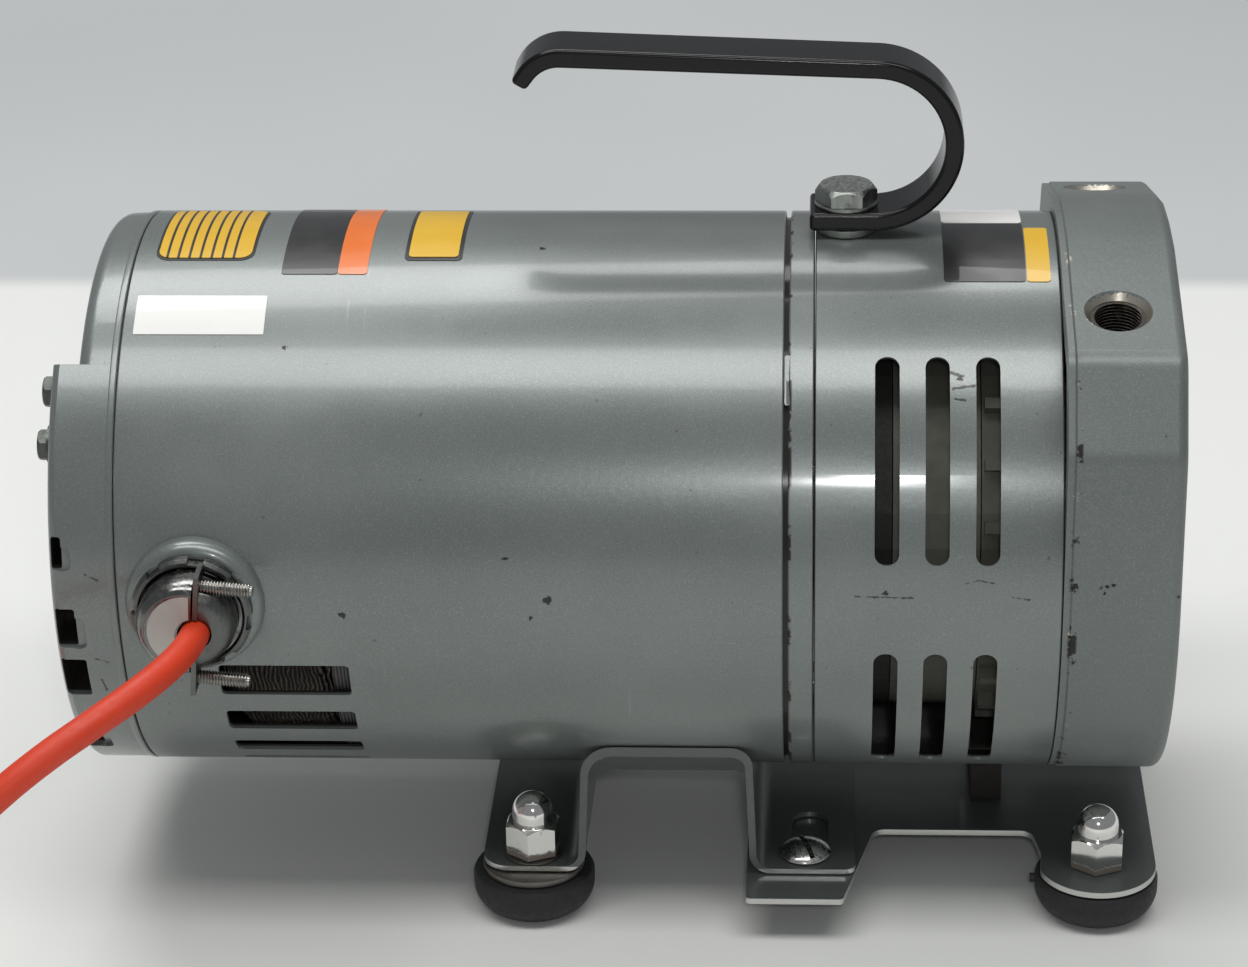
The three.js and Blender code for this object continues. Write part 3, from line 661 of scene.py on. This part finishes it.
def plug(line, rubber, steel):
    """A ribbed rubber grip with two blades and a ground pin, along -X from the cord's end."""
    start, face = (PLUG_START, line, PLUG_LEVEL), -57.5
    grip = [(0, 0), (0, 5.6)]
    for k in range(6):
        grip += [(-2 - 3 * k, 5.9 + 0.25 * k), (-3 - 3 * k, 6.5 + 0.25 * k), (-4 - 3 * k, 6.0 + 0.25 * k)]
    grip += [(-22, 9), (-25, 12.8), (-27, 13.7), (-36, 12.6), (-45, 12.6), (-53, 13.7), (-57, 13.2),
             (-58, 11), (-58, 0)]
    body = revolve("plug_body", grip, "x", start, 64)
    pieces = [finished(body, rubber, "plug_rubber", "plug", lift=0, smooth=50)]
    for side, name in ((-1, "left"), (1, "right")):
        outline = [(side * a, b) for a, b in oblong((5.6, 7.1), (-3.2, 3.2))]
        blade = soften(prism(f"plug_blade_{name}", outline, -76, face, "x", start), 0.4)
        pieces.append(plated(blade, steel, lift=0))
    pin = revolve("plug_ground_pin", [(face, 0), (face, 2.4), (-75, 2.4), (-77.5, 1), (-78, 0)], "x",
                  (PLUG_START, line, PLUG_LEVEL + 9), 32)
    pieces.append(plated(pin, steel, lift=0))
    return pieces


# -- Motor --

SHELL_BORE = 77.8
THROUGH = (74, 84)  # radii between which a cutter goes right through a thin shell
VENT_SPAN = (-106, -70)
# Top and bottom of each opening in degrees about the shaft, and the X that a notch reaches
VENTS = [(-14, -22.3), (-27.8, -34.8), (-40.8, -46.8), (-53.5, -57.5)]
NOTCHES = [(14.1, 7.4, -146.5), (-1, -10, -144), (-13, -23, -142.3), (-36, -46, -144)]


def motor_shell(paint):
    (low, high), edge = SHELL, 0.35
    shell = revolve("motor_shell_visual", [
        (low, SHELL_BORE), (high, SHELL_BORE), (high, BODY - edge), (high - edge, BODY), (low + edge, BODY),
        (low, BODY - edge)])
    cutters = [rod("hole", 60, 95, 11, "front", (GLAND[0], 0, GLAND[1]))]
    for top, bottom in VENTS:
        cutters += [patch("vent", VENT_SPAN, (bottom, top), THROUGH, 1.3, side) for side in (-1, 1)]
    shell = soften(combine(shell, cutters), 0.25, 2, 50)
    finished(shell, paint, "enamel")


def edge_chips(tree, x, reach, edge, grain, low, high):
    """Ragged chips in a band round the body; grain is the scale, detail and roughness of their noise."""
    return times(near(tree, "X", x, reach, edge), ramp(noise(tree, *grain), low, high))


def notch_shadow(tree):
    """Painted shade inside the rear notches, behind the end face and below the ledge."""
    behind = ramp(along(tree, "X"), (REAR_END + 0.4) * MM, (REAR_END + 0.8) * MM)
    below = ramp(along(tree, "Z"), (AXIS + 24) * MM, (AXIS + 20) * MM)
    return times(times(behind, below), shaded_inside(tree, 77.2))


def rear_bell(paint):
    """A full round below a shallow V, stepped back above it to a rim of its own, and hollow inside."""
    wall, joint, well_in, well_out = REAR_END + 2.5, -133.8, 26, 74

    def shelf(level):
        high = level + SHELF["rise"]
        outline = [(-90, high), (0, level), (90, high), (90, 120), (-90, 120)]
        return prism("shelf", outline, -160, -120, "x")

    low = revolve("rear_end_bell_visual", [
        (joint, 0), (REAR_END, 0), (REAR_END, 76.6), (-149.9, 77.6), (-149.2, 78.4), (-148, 79.1),
        (joint, 79.1), (joint, 78)])
    low = soften(combine(low, [shelf(SHELF["ledge"])]), 1.6, 3, 30)
    high = revolve("high", [(joint, 0), (-143.5, 0), *arc(-139.3, 74.5, 4.2, 180, 90, 8), (joint, 78.9),
                            (joint, 78)])
    body = combine(low, [high], "UNION")
    well = combine(pipe("well", wall, -133, well_in, well_out), [shelf(SHELF["well"])])
    body = combine(body, [well, pipe("hollow", -139, -120, well_in, well_out)])
    rim = revolve("rim", [
        (-126, 74), (-126, 77.4), (-132.1, 77.4), (-132.1, 79.1), (-132.4, BODY), (-133.6, BODY),
        (-134, 79.2), (-134.2, 76), (-134.2, 72), (-133, 72)])
    body = combine(body, [rim], "UNION")
    body = combine(body, [rod("pocket", -142, -120, 20.3), rod("end", -146, -120, 8.95)])
    cutters = []
    for top, bottom, depth in NOTCHES:
        for side in (-1, 1):
            cutters.append(patch("notch", (REAR_END + 0.8, depth), (bottom, top), (67, 83), 0.9, side))
            if depth < -143:
                scoop = (depth - 2, depth + 2.6), (bottom - 0.3, top - 2)
                cutters.append(patch("scoop", *scoop, (77.9, 83), 2.2, side))
    body = soften(combine(body, cutters), 0.5, 2, 50)
    finished(body, paint, "enamel")


def hex_head(name, flats, low, high, axis="z", centre=(0, 0, 0), turn=30.0, chamfer=0.12):
    """A hexagon cut by a cone at its outer end, as a turned bolt head or nut is."""
    reach = flats / math.sqrt(3) + 0.05
    grow = 1 if high > low else -1
    hexagon = arc(0, 0, flats / math.sqrt(3), turn, turn + 300, 5)
    head = prism(name, hexagon, low, high, axis, centre)
    cone = revolve("cone", [(low - grow, 0), (high, 0), (high, flats / 2 * 0.96),
                            (high - grow * flats * chamfer, reach), (low - grow, reach)], axis, centre, 64)
    return combine(head, [cone], "INTERSECT")


def rear_fittings(steel, black):
    face = -150.5
    cover = revolve("rear_cover_visual", [(face, 0), (-151.2, 0), (-151.5, 0), (-151.5, 36), (-151.2, 36.5),
                                          (face, 36.5)], "x", (0, 0, -8.5))
    finished(cover, black, "dark_cover", "rear_cover_plate")
    for index, (y, z) in enumerate([(-46, 48.8), (-58, 38.2)], 1):
        washer = rod("washer", face, -151.3, 5.6, "x", (0, y, z), 40)
        head = hex_head(f"end_bolt_{index}_visual", 8, -151.2, -154.1, "x", (0, y, z))
        plated(combine(head, [washer], "UNION"), steel)


def drive_bell_shade_and_chips(tree):
    """Painted shade inside, and dark chips beside the joint with the shroud."""
    return most(shaded_inside(tree, 78.5), edge_chips(tree, 50.1, 0.5, 0.5, (95, 6, 0.7), 0.52, 0.56))


def drive_bell(paint):
    bell = revolve("drive_end_bell_visual", [
        (28, 20.3), (28, 25), (43, 25), (43, 73), (36, 73), (36, 77.4), (50, 77.4), (50, 79.0), (50.4, BODY),
        (56.4, BODY), (56.7, 79.1), (56.7, 74), (48, 74), (48, 9), (41, 9), (41, 20.3)])
    tab = patch("tab", (48.9, 51), (40.6, 51.1), (76.5, BODY - 0.05), 0.6)
    finished(combine(bell, [tab], "UNION"), paint, "enamel")


# -- Pump end --

def shroud_shade_and_joint(tree):
    """Painted shade inside, and a dark line at the joint."""
    return most(shaded_inside(tree, 78.4), near(tree, "X", SHROUD[0], 0.2, 0.3))


def shroud(paint):
    low, high = SHROUD
    cover = revolve("shroud_visual", [
        (low, 78.2), (high, 78.2), (high, 79.1), (high - 0.3, BODY), (low + 0.3, BODY), (low, 79.1)])
    cutters = [rod("hole", 60, 90, BOLT_HOLE, "z", (BOLT_X, 0, 0)),
               block("window", (101, 114), (-18, 18), (-90, -60))]
    for xs in ((73.1, 79.7), (86.6, 93.1), (100.1, 106.6)):
        for angles in ((9.3, 50.8), (-50.5, -10)):
            cutters += [patch("slot", xs, angles, THROUGH, 3.2, side) for side in (-1, 1)]
    cover = soften(combine(cover, cutters), 0.2, 2, 50)
    finished(cover, paint, "enamel")


def cap_outline(inset=0.0):
    """Half round below, two bevelled corners above and a shallow crown between them."""
    side = 79.8 - inset
    right = [(side, 0), (side, 45 - inset / 2, 12), (67.7 - inset * 0.8, 69 - inset * 0.9, 8),
             (34, 77.7 - inset)]
    left = [(-c[0], *c[1:]) for c in reversed(right)]
    crown = [(17, 82 - inset), (0, 83 - inset), (-17, 82 - inset)]
    return rounded([*right, *crown, *left]) + arc(0, 0, side, 180, 360, 90)[1:-1]


def cap_wear(tree):
    """Bare metal in the two countersinks and in chips along the left edge."""
    chips = edge_chips(tree, CAP[0] + 0.3, 0.3, 0.9, (85, 7, 0.75), 0.60, 0.63)
    sinks = [(PORT["x"], side * PORT["y"], 182.6, 8.7) for side in (-1, 1)]
    return most(chips, spots(tree, sinks))


def cap_grime(tree):
    """Ragged dark chips beside the joint with the gasket, below the upper corners."""
    chips = edge_chips(tree, CAP[0] + 0.8, 0.8, 0.8, (100, 7, 0.75), 0.54, 0.57)
    return times(chips, ramp(along(tree, "Z"), 0.180, 0.170))


def end_cap(paint, thread):
    (low, high), edge, drill, pitch = CAP, 3, 7.45, 1.06
    levels = [(low, 0.5), (low + 0.5, 0)]
    for t in (k * math.pi / 12 for k in range(7)):
        levels.append((high - edge + edge * math.sin(t), edge - edge * math.cos(t)))
    cap = loft("end_cap_visual", [[(x, y, z) for y, z in cap_outline(inset)] for x, inset in levels])
    hollow = prism("hollow", cap_outline(4), low - 1, high - 4, "x")
    cap = combine(cap, [hollow])
    cutters = []
    for name, side in (("front", -1), ("rear", 1)):
        about, tilt = (PORT["x"], side * PORT["y"], PORT["z"]), -side * PORT["tilt"]
        boss = turned_by(rod("boss", -12.9, -1.6, 11, "z", about, 50), tilt, "X", about)
        cap = combine(cap, [boss], "UNION")
        bore = revolve("bore", [(-16, 0), (3, 0), (3, 9.2), (0, 9.2), (-2.2, drill), (-16, drill)], "z",
                       about, 64)
        bore = turned_by(bore, 2.3, "Z", about)  # keeps its edges off the boss's edges
        cutters.append(turned_by(bore, tilt, "X", about))
        profile = [(-14, 7.4)]
        for k in range(11):
            step = pitch * k
            profile += [(-13.6 + step, 7.05), (-13.2 + step, 6.35), (-12.9 + step, 6.35)]
        profile += [(-2.3, 7.4)]
        port = revolve(f"{name}_port_thread", profile, "z", about, 64)
        plated(turned_by(port, tilt, "X", about), thread)
    across, drop = CAP_BOLT
    for y in (-across, across):
        cutters.append(rod("bolt_hole", high - 6, high + 1, 3.6, "x", (0, y, drop)))
    finished(combine(cap, cutters), paint, "enamel", smooth=28)
    gasket = prism("cap_gasket_visual", cap_outline(0.4), SHROUD[1] + 0.3, low - 0.02, "x")
    gasket = combine(gasket, [prism("hollow", cap_outline(8), 100, 130, "x")])
    finished(gasket, paint, "enamel")
    for index, y in enumerate((-across, across), 1):
        head = hex_head(f"cap_bolt_{index}_visual", 6, high - 3.6, high - 0.1, "x", (0, y, drop))
        plated(head, thread)


# -- Handle --

def handle(gloss, steel):
    loop, radius, thick, centre = (73, 106.3), 24.6, 5.2, (BOLT_X, 0, 0)
    outline = rounded([(-26.5, 125), (-20.7, 134.8, 14), *arc(*loop, radius, 87.6, -90, 40),
                       (55.3, 81.7, 1.2), (55.3, 81.7 + thick, 1.2),
                       *arc(*loop, radius - thick, -90, 87.6, 36), (-17.5, 129.2, 8.8), (-22.5, 122.6)], 10)
    strap = soften(prism("handle_visual", outline, -9, 9, "y"), 1.3, 4, 50)
    strap = combine(strap, [rod("hole", 78, 90, BOLT_HOLE, "z", centre)])
    finished(strap, gloss, "handle_black")
    bolt = hex_head("handle_bolt_visual", 15, 88.0, 92.6, "z", centre, 1)
    bolt = combine(bolt, [rod("shank", 68, 88.5, 4, "z", centre)], "UNION")
    plated(bolt, steel)
    washer = soften(pipe("handle_washer_visual", 86.95, 87.9, 4.4, 8.75, "z", centre, 64), 0.25)
    plated(washer, steel)
    spacer = soften(pipe("handle_spacer_visual", 79.5, 81.6, 4.4, 8.5, "z", centre, 64), 0.3)
    plated(spacer, steel)


# -- Base --

def cradle_ring(y):
    """The bent sheet cut across at y: two flats with the saddle between, which follows the body."""
    top, under = (-math.sqrt(radius ** 2 - y ** 2) for radius in (SADDLE, SADDLE + 2))
    low, high = -94.1, -92.4
    line = rounded([
        (-38, high), (-10, high, 4.4), (-8.2, top, 9), (39.7, top, 6), (41.1, high, 4.5), (70, high),
        (70, low), (39.1, low, 6.5), (37.7, under, 4), (-6.2, under, 7), (-8, low, 6.4), (-38, low)])
    return [(x, y, z) for x, z in line]


def sheet_edges(tree):
    """Bare metal on the cut edges of the two sheets."""
    return most(near(tree, "Z", 13.7, 0.75, 0.2), near(tree, "Z", 15.9, 0.6, 0.2))


def base(paint, steel):
    swing = math.asin(CRADLE_REACH / SADDLE)
    rings = [cradle_ring(SADDLE * math.sin(swing * (k / 18 - 1))) for k in range(37)]
    plan = rounded(mirrored([(69, -CRADLE_REACH, 3), (-37.5, -CRADLE_REACH, 8)]))
    sheet = combine(loft("motor_cradle_visual", rings), [prism("plan", plan, -100, 0)], "INTERSECT")
    cutters = []
    slot = rounded(oblong((50.7, 61.2), (26.95, 50.05), 5.2))
    for side in (-1, 1):
        cutters.append(prism("slot", [(x, side * y) for x, y in slot], *CUT))
        cutters.append(rod("stud", *CUT, STUD_HOLE, "z", (FOOT_LEFT, side * FOOT_Y, 0)))
    finished(soften(combine(sheet, cutters), 0.3, 2, 50), paint, "bracket_paint")

    half = [(38, -72.5, 1.5), (65.4, -72.5, 1.5), (74.6, -33.2, 4), (120, -33.2, 4), (122.2, -46, 6),
            *arc(FOOT_RIGHT, -FOOT_Y, 16.8, 195, 360, 30)]
    plate = prism("base_plate_visual", rounded(mirrored(half)), -96.4, -94.4)
    cutters = [rod("stud", *CUT, STUD_HOLE, "z", (FOOT_RIGHT, side * FOOT_Y, 0)) for side in (-1, 1)]
    cutters += [rod("screw", *CUT, 3.4, "z", (SCREW_X, side * SCREW_Y, 0)) for side in (-1, 1)]
    finished(soften(combine(plate, cutters), 0.3, 2, 50), paint, "bracket_paint")

    seat = -92.1
    for name, side in (("front", -1), ("rear", 1)):
        centre = (SCREW_X, side * SCREW_Y, 0)
        profile = [(seat, 0), (seat, 7.2), (seat + 0.3, 7.5), (seat + 0.7, 7.4), (seat + 1.6, 6.6),
                   (seat + 2.5, 5.0), (seat + 3.2, 3.0), (seat + 3.5, 0)]
        head = combine(revolve(f"cradle_screw_{name}_visual", profile, "z", centre, 64),
                       [rod("shank", -98.5, seat + 0.5, 2.9, "z", centre)], "UNION")
        groove = block("groove", (-9, 9), (-0.75, 0.75), (seat + 1.6, seat + 5), centre)
        head = combine(head, [turned_by(groove, 110, "Z", centre)])
        plated(soften(head, 0.15, 2, 50), steel)


def feet(rubber, steel):
    """Rubber pucks on studs; at the left the sheet is higher, so a washer lies below and above it."""
    floor, dome_radius = -AXIS, 5.9
    top = floor + 12.4
    for name, (x, y) in FEET.items():
        left = x == FOOT_LEFT
        centre = (x, y, 0)
        puck = [(floor, 0), *[(z, r) for r, z in arc(9.45, floor + 8, 8, -90, 0, 12)],
                (floor + 10.9, 17.45), (floor + 12, 16.9), (top, 15.5), (top, 0)]
        foot = revolve(f"foot_{name}_visual", puck, "z", centre, 96)
        if name == "front_right":
            nub = rod("nub", -1.6, 1.4, 1.3, "x", (x - 17.3, y, floor + 9.6), 16)
            foot = combine(foot, [nub], "UNION")
        finished(foot, rubber, "foot_rubber")
        plated(rod(f"foot_stud_{name}", top, -83, 3.2, "z", centre, 32), steel)
        seat = -91.4 if left else -94.1
        nut = hex_head(f"acorn_nut_{name}_visual", 14.3, seat, seat + 9.8, "z", centre, 24, 0.1)
        dome = [(seat + 8, 0), (seat + 8, dome_radius), (seat + 11.4, dome_radius),
                *[(z, max(r, 0)) for r, z in arc(0, seat + 12.2, dome_radius, 0, 90, 12)]]
        nut = combine(nut, [revolve("dome", dome, "z", centre, 64)], "UNION")
        nut = combine(nut, [rod("thread", seat - 1, seat + 12, STUD_HOLE, "z", centre)])
        plating = chrome(f"nut plating {name}", seat + AXIS)
        finished(soften(nut, 0.25, 2, 40), plating, "nut_chrome")
        if left:
            wide = pipe(f"foot_washer_{name}_visual", -96.4, -94.5, STUD_HOLE, 14.6, "z", centre, 64)
            plated(soften(wide, 0.4), steel)
            thin = pipe(f"nut_washer_{name}_visual", -92.1, -91.7, STUD_HOLE, 8.7, "z", centre, 64)
            plated(thin, steel)


# -- Cord gland --

def gland(paint, steel, dull, bright, paper):
    """Boss on the shell, castellated lock nut, and a clamp in two halves across the cord's throat."""
    centre = (GLAND[0], 0, GLAND[1])
    throat_x, throat_z = GLAND[0] + CORD_THROAT[0], GLAND[1] + CORD_THROAT[1]

    def inner():
        return rod("throat", 60, 110, 4.6, "front", (throat_x, 0, throat_z))

    def turned(piece):
        return turned_by(piece, CLAMP_TURN, "Y", centre)

    boss = revolve("gland_boss_visual", [
        (70, 14.8), (82.6, 14.8), (83.1, 15.1), *arc(79.7, 15.6, 3.4, 0, 90, 10), (70, 19)],
        "front", centre, 96)
    boss = combine(boss, [rod("shell", -150, -70, BODY + 0.3, "x")])
    finished(boss, paint, "enamel", "gland_ring")

    nut = revolve("gland_locknut_visual", [
        (84, 14.3), (86.7, 14.3), (87, 14.6), (87, 15.6), (86.2, 16.5), (84, 16.5)], "front", centre, 96)
    notches = []
    for k in range(8):
        notch = block("notch", (15.1, 18), (-88, -83), (-2.2, 2.2), centre)
        notches.append(turned_by(notch, k * 45 + 8, "Y", centre))
    plated(soften(combine(nut, notches), 0.2, 2, 40), dull)

    barrel = [(72, 0), (72, 10.6), (82, 10.6), (82.2, 13.6), (82.5, 13.9), (92, 13.9), (94, 13.6),
              (95.6, 12.8), (96.6, 11.8), (97, 10.9), (97, 0)]
    body = revolve("gland_body_visual", barrel, "front", centre, 96)
    half = turned(block("right", (CORD_THROAT[0] - 1, 20), (-100, -86.5), (-20, 20), centre))
    body = combine(body, [half, inner()])
    plated(soften(body, 0.25, 2, 50), bright)

    left = CORD_THROAT[0] - 0.5
    plate = prism("gland_strap_visual", [
        (left, -18.9), (left + 1.3, -18.9), (left + 1.3, 16.3), (left, 16.3)], -96.9, -87.4, "y", centre)
    dish = revolve("dish", [(87.4, 0), (87.4, 12.9), (91, 12.8), (93.2, 12.2), (94.8, 11), (95.6, 9.4),
                            (95.9, 7), (95.9, 0)], "front", centre, 96)
    dish = combine(dish, [block("half", (left, 20), (-99, -80), (-14, 14), centre)], "INTERSECT")
    strap = combine(plate, [dish], "UNION")
    holes = [rod("hole", -115, -80, 2.3, "x", (0, SCREW_LINE, GLAND[1] + z), 32)
             for z in CLAMP_SCREWS.values()]
    strap = combine(turned(combine(strap, holes)), [inner()])
    plated(soften(strap, 0.3, 2, 50), dull)

    start, end = GLAND[0] + left, GLAND[0] + 17.4
    pitch = 0.83
    for name, z in CLAMP_SCREWS.items():
        thread = [(start, 0), (start, 1.6)]
        for k in range(17):
            at = start + 0.6 + pitch * k
            thread += [(at, 1.6), (at + 0.25, 2.0), (at + 0.45, 2.0), (at + 0.7, 1.6)]
        thread += [(end - 0.3, 1.5), (end, 0.9), (end, 0)]
        screw = revolve(f"gland_screw_{name}_visual", thread, "x", (0, SCREW_LINE, GLAND[1] + z), 32)
        plated(turned(screw), steel, smooth=20)

    near_edge = CORD_THROAT[0] - 1.5
    crescent = [*arc(0.3, 0, 10.5, 88, 272, 36), (near_edge, -5.9),
                *arc(*CORD_THROAT, 5.1, 253, 107, 14), (near_edge, 3.9)]
    tag = turned(prism("gland_tag", crescent, -97.2, -96.95, "y", centre))
    finished(tag, paper, None)


# -- Labels and the nub --

def label(name, xs, angles, material, corner=1.0, lift=0.0):
    """A thin film on the round body, cut to its outline from a sleeve."""
    sleeve = pipe(name, xs[0] - 1, xs[1] + 1, BODY + 0.03 + lift, BODY + 0.2 + lift)
    outline = patch("outline", xs, angles, (72, 90), corner)
    finished(combine(sleeve, [outline], "INTERSECT"), material, None)


def labels():
    """Plain blocks of colour; the yellow ones lie on black borders, and one of them is ruled."""
    yellow, orange, white = (0.72, 0.43, 0.02), (0.78, 0.17, 0.02), (0.80, 0.80, 0.78)
    black, over = (0.015, 0.015, 0.016), 0.22
    lines = [("X", -104.2 - 3.1 * k, 0.3, black) for k in range(7)]
    ink = film("label black", black)
    label("label_rear_border", (-126.2, -98.6), (76, 104), ink, 4)
    ruled = film("label yellow lined", yellow, lines)
    label("label_rear_top", (-125.4, -99.4), (76.6, 103.4), ruled, 3.4, over)
    label("label_heat_black", (-90.2, -74.6), (71.5, 110), ink)
    label("label_heat_orange", (-74.5, -66.4), (71.5, 110), film("label orange", orange))
    label("label_middle_border", (-56.6, -40.6), (76, 104), ink, 1.6)
    label("label_middle", (-55.5, -41.7), (77, 103), film("label yellow", yellow), 1.2, over)
    label("label_white", (-128.7, -92.9), (55.5, 65.2), film("label white", white), 0.4)
    label("label_shroud_white", (92, 114.3), (93, 110), film("label torn white", white), 1.5)
    label("label_shroud_black", (92, 114.3), (69.5, 92.7), ink)
    label("label_shroud_yellow", (114.6, 121), (69.5, 90), film("label yellow strip", yellow))


def rear_nub(paint):
    """The round nub in the rear bell's upper notch."""
    angle, far, radius = math.radians(3.4), 76.2, 2.6
    spot = (-146.8, -far * math.cos(angle), far * math.sin(angle))
    profile = [(-radius, 0), *arc(0, 0, radius, 180, 90, 8)[1:], (1.5, radius), (1.5, 0)]
    finished(revolve("rear_bell_nub", profile, "x", spot, 32), paint, "enamel")


# -- Inner parts --

def inner_parts():
    """The parts inside keep their own meshes and get a material."""
    copper = windings("copper wire")
    bearing = zinc("bearing steel", (0.50, 0.50, 0.50), 0.25, 0.2)
    # The cast iron gets painted shade, darker towards the bottom, under the shroud.
    iron = plain("cast iron", (0.135, 0.135, 0.112), 0.62, 0.3, 240, 0.5, 0.45,
                 painted_shade=lambda tree: ramp(along(tree, "Z"), 62 * MM, 48 * MM))
    stack = lamination("lamination")
    plastic = plain("fan plastic", BLACK, 0.42)
    carbon = plain("carbon", BLACK, 0.5, 0.1)
    pressed = plain("felt", (0.5, 0.46, 0.39), 0.95, 0, 1500, 0.6, 0.3)
    finishes = {
        copper: ["rear_winding", "front_winding"],
        bearing: ["rear_bearing", "front_bearing", "shaft"],
        iron: ["pump_body", "outer_end_plate", "pump_rotor"],
        plain("dark plate", (0.035, 0.034, 0.032), 0.6, 0.4): ["inner_end_plate"],
        stack: ["stator_core", "motor_rotor"],
        plastic: ["cooling_fan", "switch_collar"],
        carbon: [f"vane_{k}" for k in range(1, 5)],
        pressed: ["inlet_felt", "outlet_felt"],
        zinc("nut steel"): ["handle_nut"],
    }
    for material, names in finishes.items():
        for name in names:
            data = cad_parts[name].data
            data.materials.clear()
            data.materials.append(material)


# -- Setting --

@principled
def table_finish(tree):
    """Pale, lighter towards the back as a painted pool of light, and greyer beyond the table's back edge."""
    beyond = ramp(along(tree, "Y"), 0.425, 0.445)
    cloud = ramp(noise(tree, 2.2, 2), 0.3, 0.7)
    near_side = blend(cloud, (0.76, 0.77, 0.75), (0.81, 0.82, 0.80))
    # Painted light: the table top lightens towards the back.
    top = blend(ramp(along(tree, "Y"), -0.15, 0.30), near_side, (0.86, 0.87, 0.85))
    back = blend(cloud, (0.55, 0.57, 0.575), (0.60, 0.62, 0.625))
    return {"Base Color": blend(beyond, top, back), "Roughness": 0.55,
            "Normal": bump(noise(tree, 60, 3), 0.03, 0.5)}


def table_top():
    corners = [(x, y, 0) for x, y in oblong((-6000, 6000), (-4000, 9000))]
    floor = shape("floor", corners, [(0, 1, 2, 3)])
    floor.data.materials.append(table_finish("floor"))


def light(name, spot, aim, size, power, colour=(1, 1, 1)):
    data = bpy.data.lights.new(name, "AREA")
    data.shape = "RECTANGLE"
    data.size, data.size_y = size
    data.energy = power
    data.color = colour
    lamp = linked(name, data)
    lamp.location = spot
    lamp.rotation_mode = "QUATERNION"
    lamp.rotation_quaternion = (Vector(aim) - Vector(spot)).to_track_quat("-Z", "Y")


def lighting():
    """Spots, aims and sizes in metres, powers in watts."""
    light("ceiling", (0.0, -0.5, 1.7), (0, 0, 0.1), (1.9, 0.5), 17, (1.0, 0.99, 0.97))
    light("rear_left", (-0.4, 0.9, 2.2), (0, 0.3, 0), (1.6, 0.8), 24, (1.0, 0.99, 0.98))
    light("beside_camera", (0.085, -0.96, 0.59), (0.05, 0, 0.12), (0.05, 0.04), 1.1)
    world = bpy.data.worlds.new("studio")
    world.use_nodes = True
    sky, strength = world.node_tree.nodes["Background"].inputs[:2]
    sky.default_value = (0.80, 0.83, 0.85, 1)
    strength.default_value = 0.28
    bpy.context.scene.world = world
    bpy.context.scene.view_settings.view_transform = "Standard"


# -- Assembly --

def assemble():
    camera()
    steel = zinc("zinc steel")
    dull = zinc("dull zinc", (0.15, 0.155, 0.15), 0.34, 0.7)
    bright = zinc("bright zinc", (0.20, 0.20, 0.195), 0.2, 0.5)
    jacket = plain("cord jacket", (0.63, 0.040, 0.008), 0.5, 0, 420, 0.12, 0.12)
    rubber = plain("plug rubber", (0.018, 0.018, 0.019), 0.5)
    lead, on_lead = cord(jacket, rubber, steel)

    # The shell's inner side, seen through the vents, gets painted shade.
    motor_shell(enamel("shell enamel", SHELL_CHIPS, dirt_and_shade=lambda tree: shaded_inside(tree, 78.2)))
    rear_bell(enamel("rear bell enamel", cast=1.2, dirt_and_shade=notch_shadow, scratches=BELL_SCRATCHES))
    rear_fittings(zinc("end bolt zinc", (0.12, 0.13, 0.12), 0.42, 0.5), plain("black cover", BLACK, 0.4))
    drive_bell(enamel("drive bell enamel", cast=1.2, dirt_and_shade=drive_bell_shade_and_chips))
    shroud(enamel("shroud enamel", SHROUD_CHIPS, dirt_and_shade=shroud_shade_and_joint, scratches=SHROUD_SCRATCHES))
    end_cap(enamel("cap enamel", CAP_CHIPS, cast=5.0, bare=cap_wear, dirt_and_shade=cap_grime,
                   metal_tint=(0.50, 0.46, 0.40), depth=0.92, shine=(0.46, 0.54), coat=0.08),
            zinc("port thread", (0.06, 0.055, 0.05), 0.38, 0.8))
    handle(gloss_black("handle coating"), zinc("handle bolt zinc", (0.36, 0.38, 0.36), 0.36, 0.6))
    # The bracket enamel is darkened (depth 0.42) as painted shade, for the sheets in the shadow under the
    # body.
    base(enamel("bracket enamel", depth=0.42, bare=sheet_edges),
         zinc("screw zinc", (0.74, 0.74, 0.72), 0.2, 0.3))
    feet(plain("foot rubber", (0.010, 0.010, 0.011), 0.6, 0, 500, 0.2),
         zinc("washer zinc", (0.24, 0.23, 0.21), 0.45, 0.8))
    gland(enamel("gland enamel"), zinc("clamp screw zinc", (0.36, 0.35, 0.33), 0.3, 0.8), dull, bright,
          film("silver tag", (0.40, 0.395, 0.37)))
    labels()
    rear_nub(enamel("small enamel"))
    inner_parts()
    table_top()
    lighting()


assemble()
bpy.context.view_layer.update()
